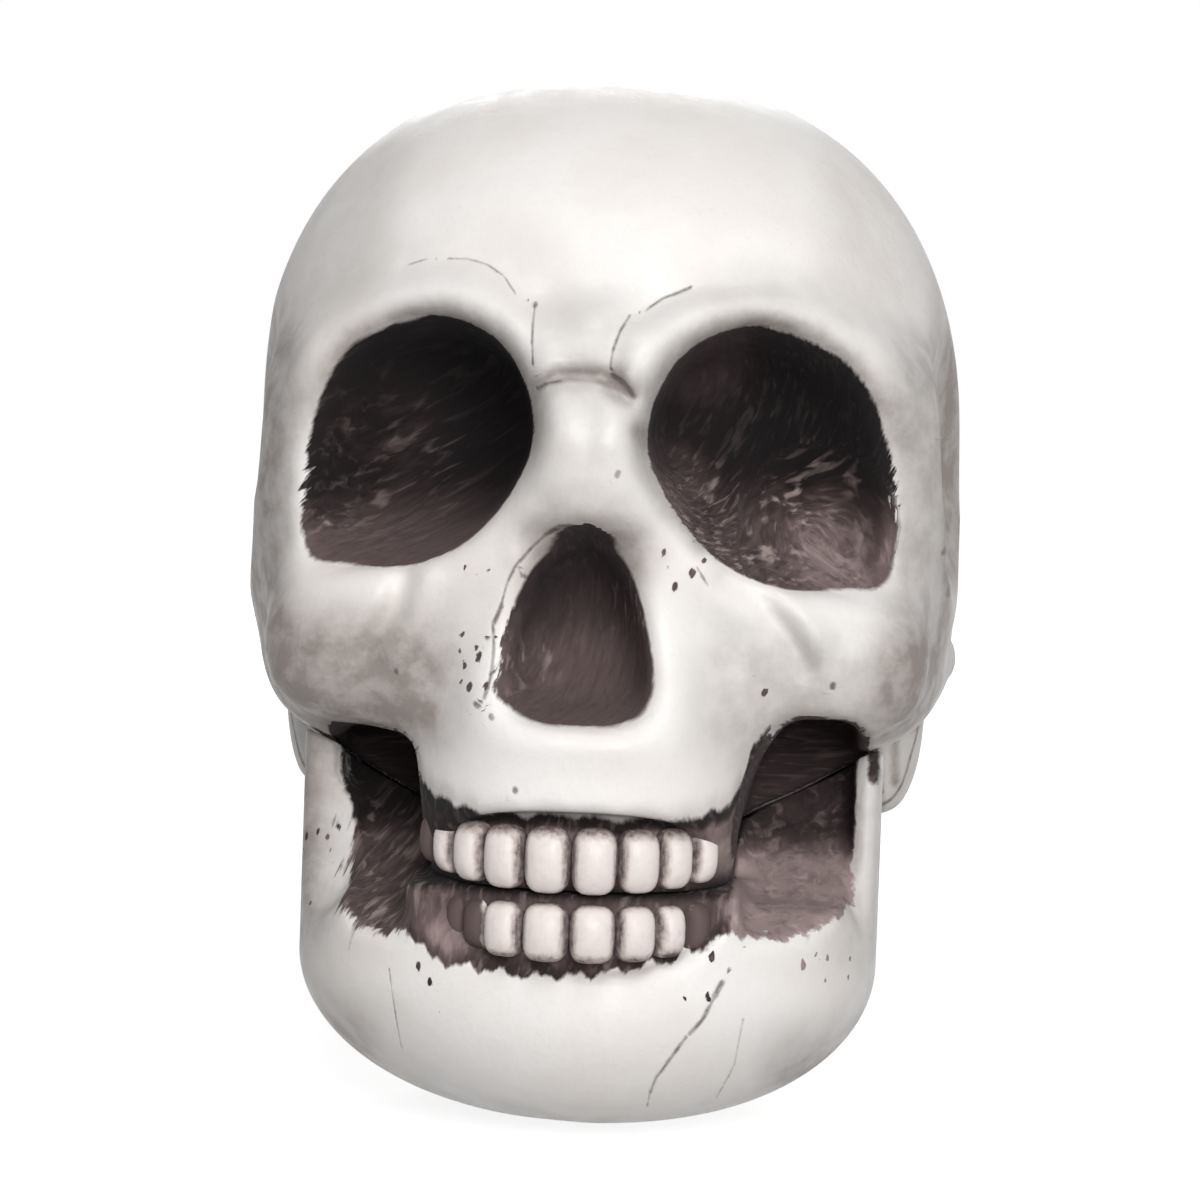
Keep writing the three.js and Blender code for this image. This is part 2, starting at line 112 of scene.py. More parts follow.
def seen_directly(tree):
    """One for camera, glossy and transmission rays, which see a plain white surround."""
    path = add(tree, "ShaderNodeLightPath").outputs
    glossy = maths(tree, "MAXIMUM", path["Is Camera Ray"], path["Is Glossy Ray"])
    return maths(tree, "MAXIMUM", glossy, path["Is Transmission Ray"])


world = bpy.data.worlds.new("studio")
bpy.context.scene.world = world
world.use_nodes = True
sky = world.node_tree
sky_fill = add(sky, "ShaderNodeBackground", {"Color": FILL_COLOUR, "Strength": FILL_STRENGTH}).outputs[0]
sky_white = add(sky, "ShaderNodeBackground", {"Color": WHITE, "Strength": 1.0}).outputs[0]
sky_mix = add(sky, "ShaderNodeMixShader", {0: seen_directly(sky), 1: sky_fill, 2: sky_white})
sky.links.new(sky_mix.outputs[0], sky.nodes["World Output"].inputs["Surface"])

floor_mesh = bpy.data.meshes.new("floor")
floor_corners = [(x * SWEEP_HALF, y * SWEEP_HALF, SWEEP_Z) for x, y in ((-1, -1), (1, -1), (1, 1), (-1, 1))]
floor_mesh.from_pydata(floor_corners, [], [(0, 1, 2, 3)])
floor = placed("floor", floor_mesh)
floor_paint, floor_tree, floor_shader = new_material("white_sweep", 0.0)
floor_shader.inputs["Base Color"].default_value = SWEEP_GREY
floor_shader.inputs["Roughness"].default_value = 0.9
floor_shader.inputs["Emission Color"].default_value = WHITE
floor_place = add(floor_tree, "ShaderNodeTexCoord").outputs["Object"]
floor_reach = add(floor_tree, "ShaderNodeVectorMath", {0: floor_place}, operation="LENGTH").outputs["Value"]
floor_far = between(floor_tree, floor_reach, 0.09, 0.3, 0.84, 1.0)
floor_glow = maths(floor_tree, "MULTIPLY", seen_directly(floor_tree), floor_far)
floor_tree.links.new(floor_glow, floor_shader.inputs["Emission Strength"])
floor_mesh.materials.append(floor_paint)

for lamp_name, lamp_place, lamp_size, lamp_power in (
    ("key_box", (0.2, -0.92, 0.3), 0.36, 6.9),
    ("back_box", (-0.1, 0.9, 0.5), 0.4, 2.5),
    ("top_box", (0.05, -0.4, 0.75), 0.35, 1.8),
):
    lamp_data = bpy.data.lights.new(lamp_name, "AREA")
    lamp_data.size = lamp_size
    lamp_data.energy = lamp_power
    lamp_data.color = LAMP_COLOUR
    lamp = placed(lamp_name, lamp_data)
    lamp.location = lamp_place
    lamp.rotation_euler = (LAMP_AIM - Vector(lamp_place)).to_track_quat("-Z", "Y").to_euler()

# The face shell is one moulding of satin off-white plastic: forehead, eye sockets, nose, cheekbones
# and upper jaw. Its form is a blend of rounded blocks and bars, in millimetres, with the sockets
# sunk into it behind soft rims. It is cemented to the rear shell along the coronal seam.
FIT = 0.3
SEAM_Y = 8.0
BITE_Z = 24.6
LEAN = 0.015
LEAN_Y = 5.0
SKIN_IN = 0.14
FACE_CELL = 0.46


def join(a, b, k):
    """Smooth union of two distances over a blend of width k."""
    h = np.maximum(k - np.abs(a - b), 0) / k
    return np.minimum(a, b) - h * h * k / 4


def common(a, b, k):
    return -join(-a, -b, k)


def carve(a, b, k):
    return common(a, -b, k)


def block(x, y, z, wide, deep, high, plan, side):
    """Distance to a rounded block. plan and side are the powers of its outlines, 2 for an ellipse."""
    u = np.abs(x / wide) + 1e-5
    v = np.abs(y / deep) + 1e-5
    w = np.abs(z / high) + 1e-5
    p = u**plan + v**plan
    q = p ** (side / plan)
    s = q + w**side
    k = s ** (1 / side)
    gx = (q / p) * u ** (plan - 1) / wide
    gy = (q / p) * v ** (plan - 1) / deep
    gz = w ** (side - 1) / high
    return (k - 1) / np.sqrt((k / s) ** 2 * (gx * gx + gy * gy + gz * gz) + 1e-8)


def bar(x, y, z, start, end, start_radius, end_radius):
    """Distance to a round bar that tapers from start to end."""
    runs = [b - a for a, b in zip(start, end)]
    gaps = [value - a for value, a in zip((x, y, z), start)]
    along = sum(gap * run for gap, run in zip(gaps, runs)) / sum(run * run for run in runs)
    t = np.clip(along, 0, 1)
    away = np.sqrt(sum((gap - t * run) ** 2 for gap, run in zip(gaps, runs)))
    return away - (start_radius + (end_radius - start_radius) * t)


def midline(x, y):
    """Signed distance from the slightly leaning midline plane of the face."""
    return x + LEAN * (y - LEAN_Y)


def half(x, y):
    return np.hypot(midline(x, y), 0.2)


def ease(value, low, high):
    """Zero below low, one above high, and smooth between them."""
    t = np.clip((value - low) / (high - low), 0, 1)
    return t * t * (3 - 2 * t)


def by_hand(x, minus, plus):
    """A size that differs a little between the two sides of the sculpt."""
    return minus + (plus - minus) * ease(x, -2.5, 2.5)


ORBIT_MOUTH = -27.0
ORBIT_DEPTH = 16.5
ORBIT_TOP = 75.9
ORBIT_INNER = 4.4
NOSE_MOUTH = -35.0
NOSE_DEPTH = 11.5
NOSE_TOP = 57.2
NOSE_FLOOR = 39.7
RIM_MIDDLE = 1.5
RIM_WIDE = 1.8


def orbit_outline(x, y, z):
    s = half(x, y)
    d = common(s - by_hand(x, 27.2, 28.4), z - ORBIT_TOP, 3)
    d = common(d, by_hand(x, 52.9, 52.2) - z, 3)
    d = common(d, ORBIT_INNER - s, 3)
    d = common(d, -0.75 * s - 0.66 * z + 44.6, 5)
    d = common(d, 0.74 * s + 0.673 * z - 66.6, 7)
    return common(d, -0.769 * s + 0.639 * z - 40.7, 5)


def nose_outline(x, y, z):
    s = half(x, y)
    d = common(s - by_hand(x, 8.0, 7.4), NOSE_FLOOR - z, 6.0)
    d = common(d, 0.906 * s + 0.422 * z - by_hand(x, 26.9, 26.5), 5)
    return common(d, z - NOSE_TOP, 5)


def orbit_in_depth(x, y, z):
    """The outline of a socket at its own depth, where the two sockets turn towards each other."""
    inside = np.maximum(y - ORBIT_MOUTH, 0)
    return orbit_outline(x + np.sign(x) * 0.2 * inside, y, z - 0.03 * inside)


def orbit_cup(x, y, z):
    narrower = 0.24 * np.maximum(y - ORBIT_MOUTH, 0)
    return common((orbit_in_depth(x, y, z) + narrower) * 0.95, y - ORBIT_MOUTH - ORBIT_DEPTH, 8)


def nose_cup(x, y, z):
    narrower = 0.18 * np.maximum(y - NOSE_MOUTH, 0)
    return common(nose_outline(x, y, z) + narrower, y - NOSE_MOUTH - NOSE_DEPTH, 6)


def cheek_hollow(x, y, z):
    """The hollow between upper jaw and ramus. Its floor climbs to a web at the back."""
    s = half(x, y)
    top = by_hand(x, 37.5, 40.4)
    into = np.maximum(y + 27.0, 0)
    floor_z = 18.8 + by_hand(x, 1.0, 2.0) * (1 - ease(into, 4, 11)) + 0.25 * into + 0.018 * into * into
    outer = by_hand(x, 21.3 + 2.0 * ease(z, 29.0, 33.0), 25.0)
    d = common(by_hand(x, 15.5, 14.8) - s, s - outer, 2.4)
    d = common(d, z - top, 2.4)
    d = common(d, 0.437 * (z - 33) - 0.9 * (s - 14.8) - by_hand(x, 6, 0), 2.0)
    d = common(d, (floor_z - z) * 0.8, 2.4)
    return common(d, y + 3.5, 5)


def mouth_recess(x, y, z):
    return block(half(x, y), y + 35.5, z - BITE_Z, 15.2, 8, 7.4, 3, 2.6)


def gum_ridge(x, y, z):
    return block(half(x, y), y + 20, z - 25, 13.9, 13.6, 10.5, 2.2, 3)


def swell(distance, wide):
    """A soft ridge: one where the distance is nothing, falling away to both sides."""
    return np.exp(-((distance / wide) ** 2))


def head_form(x, y, z):
    """Cranium, brow, cheekbones, arches, nasal bridge and upper jaw before anything is cut."""
    s = half(x, y)
    long = np.where(y > 7, 41.0, 38.0)
    d = block(s, y - 7, z - 63, by_hand(x, 34.6, 34.4), long, 37, 2.4, by_hand(x, 2.41, 2.37))
    above = by_hand(x, 2.2, 3.2) * np.clip((z - 58) / 18, 0, 1)
    below = by_hand(x, 2.7, 2.2) * np.clip((58 - z) / 14, 0, 1)
    face_wide = by_hand(x, 34.45, 35.0) - above - below
    d = join(d, block(s, y + 4, z - 55.5, face_wide, np.where(y > -4, 20.0, 28.5), 19.7, 2.3, 7), 5)
    d = carve(d, block(s - 38.8, y + 7, z - 64, 9.5, 11, 12.5, 2, 2), 4.5)
    arch_start = (by_hand(x, 24.6, 26.7), -17, 43.4)
    arch_end = (by_hand(x, 30.2, 31.8), 6, 44.2)
    d = join(d, bar(s, y, z, arch_start, arch_end, 3.6, 3.0), 3)
    upper_bridge = bar(s, y, z, (0, -30, 73), (0, -33, 64), 3.2, 3.6)
    lower_bridge = bar(s, y, z, (0, -33, 64), (0, -32.8, 58.8), 3.6, 4.0)
    d = join(d, np.minimum(upper_bridge, lower_bridge), 5)
    d = join(d, block(s, y + 20, z - 34.5, 15.4, 16.6, 12.5, 2.5, 2.8), 6)
    d = join(d, block(s - by_hand(x, 21.2, 22.5), y + 22.5, z - 44, 9.5, 8, 7, 2.2, 2.4), 5)
    d = d + SKIN_IN
    front = np.clip((-8 - y) / 10, 0, 1)
    brow = 1.5 * (0.3 + 0.7 * np.clip((z - 60) / 12, 0, 1))
    d = d - front * brow * swell(orbit_outline(x, y, z) - 2.2, 2.3)
    return d - front * 1.3 * swell(nose_outline(x, y, z) - RIM_MIDDLE, RIM_WIDE)


def to_line(x, z, start, end):
    """Offset of each point in the front view from the nearest place on a straight line."""
    run_x = end[0] - start[0]
    run_z = end[1] - start[1]
    along = np.clip(((x - start[0]) * run_x + (z - start[1]) * run_z) / (run_x**2 + run_z**2), 0, 1)
    return x - start[0] - along * run_x, z - start[1] - along * run_z


def from_line(x, z, *corners):
    """Distance in the front view from a drawn line through a few corners."""
    return np.minimum.reduce([np.hypot(*to_line(x, z, a, b)) for a, b in zip(corners, corners[1:])])


def soft_folds(x, y, z):
    """Folds sculpted into the face. Positive is deeper."""
    def dents(*drawn):
        return sum(deep * swell(from_line(x, z, *corners), wide) for deep, wide, *corners in drawn)

    brows = dents(
        (0.55, 2.4, (-29, 78), (-22, 81.8), (-15, 83), (-8.5, 81.4), (-5, 78.5)),
        (0.55, 2.4, (6, 78.6), (10.6, 80.8), (16.3, 81.2), (23, 79.6), (29, 75.5)),
    )
    temples = 0.5 * ease(np.abs(x - 0.7), 18, 25) * ease(z, 74, 84)
    brow_ends = dents(
        (0.3, 1.0, (-17.2, 80.2), (-10.9, 80.9), (-7.3, 79.7), (-5.6, 76.5), (-4.6, 72.5)),
        (0.45, 1.0, (17, 79.6), (8, 78.6), (5.4, 77.3), (2.6, 75.2), (2.2, 70.5)),
    )
    nasal_root = dents((1.2, 1.0, (-4.6, 69.1), (-2.2, 70.5), (1.4, 70.5), (3.8, 68.8)))
    nose_hood = dents((0.7, 2.2, (-4, 56), (-2.4, 58.2), (0.1, 59.2), (2.6, 58.2), (4.2, 56)))
    cheeks = dents(
        (0.9, 1.2, (13.2, 52.9), (16.2, 51), (18.6, 48.2), (20.4, 45.4)),
        (-0.45, 1.3, (17.4, 53.2), (19.4, 50.6), (21.4, 47.8)),
        (0.8, 1.3, (-16, 52.2), (-16.8, 49), (-19, 45.4)),
        (-0.4, 1.3, (-13.6, 51.8), (-14.4, 48.6), (-16.2, 45.6)),
        (0.8, 4.5, (-12.6, 49), (-12.2, 41)),
        (0.7, 4.0, (13.2, 48), (12.8, 42)),
    )
    nose_rim = 0.8 * swell(nose_outline(x, y, z) - RIM_MIDDLE, RIM_WIDE)
    under_cheeks = 1.7 * ease(53 - z, 0, 16) * ease(np.abs(x), 13.5, 20)
    folds = brow_ends + nasal_root + nose_hood + nose_rim + cheeks + under_cheeks
    return ease(-y, 6, 14) * (brows + temples) + ease(-y, 14, 20) * folds


def face_before_cuts(x, y, z):
    return head_form(x, y, z) + soft_folds(x, y, z)


def face_form(x, y, z):
    d = carve(face_before_cuts(x, y, z), cheek_hollow(x, y, z), 1.6)
    d = carve(d, mouth_recess(x, y, z), 1.2)
    ridge = common(gum_ridge(x, y, z), y + 17, 2)
    d = join(d, ridge, 1.2)
    d = carve(d, orbit_cup(x, y, z), 2.2)
    d = carve(d, nose_cup(x, y, z), 1.7 + 3.0 * ease(z, 52, 57))
    d = common(d, BITE_Z + FIT / 2 - z, 0.5)
    return common(d, y - SEAM_Y + FIT / 2, 0.4)


def sampled(form, low, high, cell):
    """Values of a form on a grid. Far from its surface, coarse values stand in for fine ones."""
    step = 8
    counts = [int(math.ceil((b - a) / (cell * step))) for a, b in zip(low, high)]
    axes = [a + cell * np.arange(n * step + 1) for a, n in zip(low, counts)]
    middles = [axis[step // 2 :: step] for axis in axes]
    coarse = form(*np.meshgrid(*middles, indexing="ij"))
    values = coarse.astype(np.float32)
    for axis in range(3):
        values = np.repeat(values, step, axis)
    values = np.pad(values, ((0, 1), (0, 1), (0, 1)), mode="edge")
    for corner in np.argwhere(np.abs(coarse) < cell * step * 1.15):
        parts = tuple(slice(v * step, v * step + step + 1) for v in corner)
        values[parts] = form(*np.meshgrid(*[axis[p] for axis, p in zip(axes, parts)], indexing="ij"))
    return axes, values


def skin_of(form, low, high, cell):
    """Wraps a form in quads, with one corner in each cell that its surface crosses."""
    axes, values = sampled(form, low, high, cell)
    inside = values < 0
    size = [n - 1 for n in values.shape]
    corners = [(i, j, k) for i in (0, 1) for j in (0, 1) for k in (0, 1)]
    filled = np.zeros(size, np.int8)
    for i, j, k in corners:
        filled += inside[i : i + size[0], j : j + size[1], k : k + size[2]]
    cells = np.argwhere((filled > 0) & (filled < 8))
    number = np.full(size, -1, np.int64)
    number[tuple(cells.T)] = np.arange(len(cells))
    total = np.zeros((len(cells), 3))
    crossings = np.zeros(len(cells))
    for axis in range(3):
        for corner in corners:
            if corner[axis]:
                continue
            start = cells + corner
            end = start.copy()
            end[:, axis] += 1
            a = values[tuple(start.T)]
            b = values[tuple(end.T)]
            cut = (a < 0) != (b < 0)
            point = start.astype(float)
            point[:, axis] += np.where(cut, a / np.where(cut, a - b, 1), 0)
            total += np.where(cut[:, None], point, 0)
            crossings += cut
    points = total / crossings[:, None] * cell + [axis[0] for axis in axes]
    quads = []
    for axis in range(3):
        near = [slice(1, -1)] * 3
        near[axis] = slice(0, -1)
        far = list(near)
        far[axis] = slice(1, None)
        edges = np.argwhere(inside[tuple(near)] != inside[tuple(far)]) + [int(i != axis) for i in range(3)]
        ring = []
        for back_u, back_v in ((0, 0), (1, 0), (1, 1), (0, 1)):
            beside = edges.copy()
            beside[:, (axis + 1) % 3] -= back_u
            beside[:, (axis + 2) % 3] -= back_v
            ring.append(number[tuple(beside.T)])
        ring = np.stack(ring, 1)
        quads.append(np.where(inside[tuple(edges.T)][:, None], ring, ring[:, ::-1]))
    return settled(form, points), np.concatenate(quads)


def slope(form, points, reach=0.06):
    """How a form's distance grows along X, Y and Z at each point."""
    rates = []
    for step in np.eye(3) * reach:
        rates.append((form(*(points + step).T) - form(*(points - step).T)) / (2 * reach))
    return np.stack(rates, 1)


def settled(form, points):
    """Moves points onto the surface of their form."""
    for _ in range(3):
        rates = slope(form, points)
        steep = np.maximum((rates**2).sum(1), 0.05)
        points = points - np.clip(form(*points.T) / steep, -0.25, 0.25)[:, None] * rates
    return points


def moulding(name, form, low, high, cell, seam_y):
    """A piece wrapped round its form. The flat face along its hidden seam becomes one face."""
    points, quads = skin_of(form, low, high, cell)
    data = bpy.data.meshes.new(name)
    data.from_pydata((points * MM).tolist(), [], quads.tolist())
    data.validate()
    work = bmesh.new()
    work.from_mesh(data)
    flat = [f for f in work.faces if all(abs(v.co.y / MM - seam_y) < 0.004 for v in f.verts)]
    bmesh.ops.dissolve_faces(work, faces=flat, use_verts=True)
    work.to_mesh(data)
    work.free()
    data.shade_smooth()
    return placed(name, data)


def corners_of(piece):
    """Every corner of a piece in millimetres."""
    flat = np.empty(len(piece.data.vertices) * 3)
    piece.data.vertices.foreach_get("co", flat)
    return flat.reshape(-1, 3) / MM


def give(piece, **fields):
    """Stores values for every corner of a piece, for its material to read. A number goes to them all."""
    for name, values in fields.items():
        values = np.asarray(values, np.float32)
        if values.ndim == 0:
            values = np.full(len(piece.data.vertices), values)
        kind, key = ("FLOAT", "value") if values.ndim == 1 else ("FLOAT_VECTOR", "vector")
        store = piece.data.attributes.new(name, kind, "POINT")
        store.data.foreach_set(key, values.ravel())


def hollowness(form, points, reach):
    """How much of the space in front of each point is closed in, from 0 on a flat to about 1."""
    outward = slope(form, points)
    outward /= np.sqrt((outward**2).sum(1) + 1e-6)[:, None]
    return np.clip(1 - form(*(points + outward * reach).T) / reach, 0, 2)


def strokes_round(x, y, z, middle_x, middle_z, spread, width):
    """Coordinates for brush strokes that circle a point: slow along a stroke, quick across it."""
    dx = x - middle_x
    dz = z - middle_z
    reach = np.hypot(dx, dz)
    held = np.maximum(reach, 3.0)
    return np.array([dx / held * spread + y / 4, dz / held * spread - y / 5, reach / width + 0.4 * y])


def strokes_along(x, y, z, degrees, length, width):
    """The same for straight strokes at an angle above the horizontal."""
    turn = math.radians(degrees)
    along = x * math.cos(turn) + z * math.sin(turn)
    across = z * math.cos(turn) - x * math.sin(turn)
    return np.array([along / length, y / 3, across / width + 0.4 * y])


def curled_strokes(x, y, z, middle_x, middle_z):
    """Coordinates for short thick strokes that curl round a point and wander off the circle."""
    bent_x = x + 0.9 * np.sin(z / 2.3 + 1.0)
    bent_z = z + 0.9 * np.sin(x / 2.6)
    return strokes_round(bent_x, y, bent_z, middle_x, middle_z, 1.9, 1.0)


def spots(x, z, *places):
    """Soft spots in the front view: the strength, middle x and z, and reach of each."""
    total = 0.0
    for strength, middle_x, middle_z, reach in places:
        total = total + strength * (1 - ease(np.hypot(x - middle_x, z - middle_z), 0.3 * reach, reach))
    return total


UPPER_GAPS = (-15.0, -12.4, -10.2, -7.6, -4.0, 0.4, 4.6, 8.7, 11.8, 14.3, 16.5)


def upper_gum_edge(x):
    """Height to which the wash round the upper teeth was brushed, with a scallop over each tooth."""
    corners = (
        (-23.3, 36.6), (-15.4, 36.9), (-14.9, 34.5), (-12.4, 32.4), (-7.9, 31.2), (-4.3, 31),
        (0.1, 31.2), (3.7, 30.8), (7.3, 31.2), (10.8, 31.3), (14, 32.6), (15, 34.5), (15.9, 38), (17.8, 40.3),
    )
    scallops = np.abs(np.sin(np.pi * np.interp(x, UPPER_GAPS, range(len(UPPER_GAPS)))))
    return np.interp(x, *zip(*corners)) + 0.5 * scallops * (np.abs(x) < 13)


def face_paint(points):
    """The brown-black wash on the face: where it ends, how dark it is and which way it was brushed."""
    x, y, z = points.T
    sunk = -face_before_cuts(x, y, z)

    def caught(edge):
        """The wash also caught on a rim, just outside its line, where the surface turns in."""
        return np.where((edge > -0.8) & (edge < 0.4), np.maximum(edge, 0.7 * sunk - 0.9), edge)

    orbit = np.where(y < -5, caught(-orbit_in_depth(x, y, z)), -9)
    wider_left = 0.6 * ease(-x, 1, 4) * ease(z, 40.5, 42.5) * (1 - ease(z, 49, 56))
    nose = np.where(y < -18, caught(-nose_outline(x, y, z)) + wider_left, -9)
    hollow = cheek_hollow(x, y, z)
    recess = np.where(y > -20, np.maximum(sunk - 0.5, 1.7 - hollow), sunk - 0.5)
    recess = recess - 4 * ease(hollow, 0.7, 2.5)
    recess = np.where((np.abs(x) > 12) & (z < 43) & (y < 5), recess, -9)
    gum_line = upper_gum_edge(x)
    gum = np.where((np.abs(x) < 17.5) & (y < -17) & (z < 40), 0.6 * (gum_line - z), -9)
    in_nose = nose > -1.5
    in_recess = (recess > -0.8) & (orbit <= -1.5)
    in_gum = (gum > -1.5) & ~in_recess & ~in_nose

    def chosen(left_orbit, right_orbit, in_the_nose, in_the_recess, in_the_gum):
        value = np.where(x < 0, left_orbit, right_orbit)
        value = np.where(in_nose, in_the_nose, value)
        value = np.where(in_recess, in_the_recess, value)
        return np.where(in_gum, in_the_gum, value)

    # Lighter towards the floors of the sockets: partly the paint, partly painted light on floors that face
    # the lamp.
    slant = z + 0.1 * np.abs(x)
    left_floor_paint_and_light = 0.6 * (1 - ease(slant, 57, 64))
    right_floor_paint_and_light = 0.54 * (1 - ease(slant, 58, 66))
    # Painted shadow just under the scalloped edge of the upper jaw, over the gum.
    gum_overhang_shadow = 0.66 * ease(z - gum_line, -1.6, -0.7)
    at_bite = 0.6 * (1 - ease(z, 24.9, 26.4))
    tone = chosen(
        0.04 + left_floor_paint_and_light + 0.14 * ease(x, -8, -5) + spots(x, z, (0.22, -20, 65, 8)),
        0.04 + right_floor_paint_and_light + spots(x, z, (0.34, 6.5, 62, 6), (0.42, 9, 74, 9), (0.3, 23, 56.5, 8)),
        # The nose is lighter low down: partly the paint, partly painted light on its floor.
        0.28 + 0.36 * (1 - ease(z, 45, 53)),
        # The recess is lighter low down: partly the paint, partly painted light.
        by_hand(x, 0.3, 0.4) + 0.2 * (1 - ease(z, 26, 29.5)),
        0.82 - gum_overhang_shadow - 0.6 * ease(-x, 7.5, 10.5) - at_bite + spots(x, z, (0.5, 15.0, 28, 2.4)),
    )
    ragged = chosen(
        0.12 + spots(x, z, (0.5, -27, 60, 6), (0.2, -5, 66, 4)),
        (0.15 + spots(x, z, (0.6, 28, 60, 6), (0.3, 8, 57, 5))) * (0.35 + 0.65 * ease(z, 53, 56)),
        0.04 + spots(x, z, (0.6, -6.3, 46, 5.5)),
        0.5,
        0.12,
    )
    curled = np.hypot(x - 20.9, z - 57.6) < 7.5
    flow = chosen(
        strokes_round(x, y, z, 8, 30, 7, 0.8),
        np.where(curled, curled_strokes(x, y, z, 20.9, 57.6), strokes_along(x, y, z, 62, 3, 0.6)),
        strokes_along(x, y, z, 78, 3, 0.7),
        strokes_along(x, y, z, 4, 5, 0.5) + 11.0,
        strokes_along(x, y, z, 88, 2.5, 0.7) + 23.0,
    )
    accent = chosen(
        0.04 + spots(x, z, (0.2, -20, 61, 10), (0.6, -24, 56.5, 2.5)),
        0.06 + spots(x, z, (1.0, 21, 56.5, 10), (0.7, 8, 58, 7), (0.5, 13, 53, 7)),
        0.04 + spots(x, z, (0.7, -4.8, 44.5, 3.5), (0.35, 5.5, 50, 4)),
        0.15,
        0.15 + spots(x, z, (0.6, 15.0, 28, 2.4)),
    )
    beside_nose = spots(x, z, (0.9, -8.2, 44, 4.5), (0.6, 9.5, 54.5, 4.5), (0.35, -8.5, 53, 3))
    return {
        "wash_edge": np.maximum.reduce([orbit, nose, recess, gum]),
        "wash_tone": tone,
        "wash_ragged": ragged,
        "wash_flow": flow.T,
        "wash_accent": accent,
        "wash_spatter": beside_nose + spots(x, z, (0.1, 18, 42, 4), (0.1, 29.5, 58, 4)),
    }


def face_shade_and_haze(x, y, z):
    """Painted shade inside and above the rims of sockets and nose, where their surfaces turn in, and a
    grey-brown haze down beside the right socket.
    """
    over_orbit = (1 - ease(orbit_outline(x, y, z), 0.0, 2.6)) * ease(z, 62, 70) * (y < -12)
    over_nose = 1 - ease(nose_outline(x, y, z), -0.5, 1.6 + 3.6 * ease(z, 50, 57))
    over_nose = over_nose * ease(z, 46, 55) * (y < -24)
    beside = 1 - ease(from_line(x, z, (5, 66), (5.4, 63), (7.6, 59), (10.6, 55.8)), 0.0, 1.4)
    return 0.62 * over_orbit + 0.75 * over_nose + 0.45 * beside * (y < -20)


def face_soil(points, closed):
    """Grey-brown darkening: soil on the temples, more where closed in and towards the sides, and painted
    shade over the nose, above the sockets, on brow, bridge and cheeks, and under the upper gum.
    """
    x, y, z = points.T
    out = np.abs(x)
    # Darker where closed in, with the painted shade of face_shade_and_haze.
    soil = 0.03 + 0.4 * ease(closed, 0.3, 1.0) + face_shade_and_haze(x, y, z)
    # Painted shade: a faint darkening over the height of brow and bridge.
    soil += 0.07 * (1 - ease(z, 76, 86)) * ease(z, 50, 60)
    # Painted shadow in a band just above the nasal root, under the brow.
    over_root = z - 70.0 + 0.07 * (x + 0.4) ** 2
    root_shadow_band = ease(over_root, -0.1, 0.4) * (1 - ease(over_root, 0.4, 3.4)) * (1 - ease(out, 3.4, 5.2))
    # The cheeks: partly airbrushed paint, partly painted shade where they turn down from the light, stronger
    # on the left.
    cheeks = by_hand(x, 0.95, 0.52) * ease(out, 8, 14) * (1 - ease(z, 45, 52)) * ease(z, 34, 40)
    cheeks += by_hand(x, 0.75, 0.12) * ease(out, 14, 20) * (1 - ease(z, 35, 46))
    # Painted shade toning down the bridge, glabella and right brow, with a darker spot by the nasal root.
    middle = spots(x, z, (0.4, 3.6, 70.2, 2.6), (0.22, 0.0, 72.5, 6.0), (0.17, 0.3, 66, 7), (0.12, 15, 76, 8))
    soil += ease(-y, 10, 18) * (0.5 * root_shadow_band + cheeks + middle)
    # Painted shade on the outer sides of the face, stronger on the left.
    soil += by_hand(x, 0.8, 0.55) * ease(out, 25.0, 29.5) * (1 - ease(z, 72, 79)) * ease(-y, 6, 12)
    # Painted shadow under the scalloped edge of the upper jaw.
    gum_shadow = ease(upper_gum_edge(x) + 2.2 - z, 0, 2.4) * (out < 15) * (z > 27)
    soil += 0.4 * gum_shadow * ease(-y, 24, 28)
    # The sides of the forehead: partly airbrushed paint, partly painted shade.
    soil += 0.1 * ease(np.abs(x - 0.5), 17.5, 22) * ease(z, 72, 80)
    behind_rim = ease(x + 0.05 * (z - 75), 31.2, 32.0) * ease(z, 50, 54) * (1 - ease(z, 72, 78))
    soil += 0.45 * behind_rim * ease(y, -20, -15)
    soil += spots(y, z, (0.3, -7, 64, 13)) * ease(out, 27, 30)
    # Darker towards the sides of the head, most at the temples.
    side = ease(out, 29.5, 33.5) * ease(y, -20, -10)
    soil += side * (0.25 + 0.25 * ease(z, 50, 62) * (1 - ease(z, 76, 88)))
    return np.clip(soil, 0, 1)


def drawn_lines(x, z, *lines):
    """Offset of each point from the nearest drawn line. The third part is half that line's width."""
    offsets = np.full((len(x), 3), 9.0)
    offsets[:, 2] = 0
    nearest = np.full(len(x), 1.1)
    for wide, *corners in lines:
        for start, end in zip(corners, corners[1:]):
            offset = np.stack([*to_line(x, z, start, end), 0 * x + wide], 1)
            reach = np.hypot(offset[:, 0], offset[:, 1])
            closer = reach < nearest
            offsets[closer] = offset[closer]
            nearest = np.minimum(nearest, reach)
    return offsets


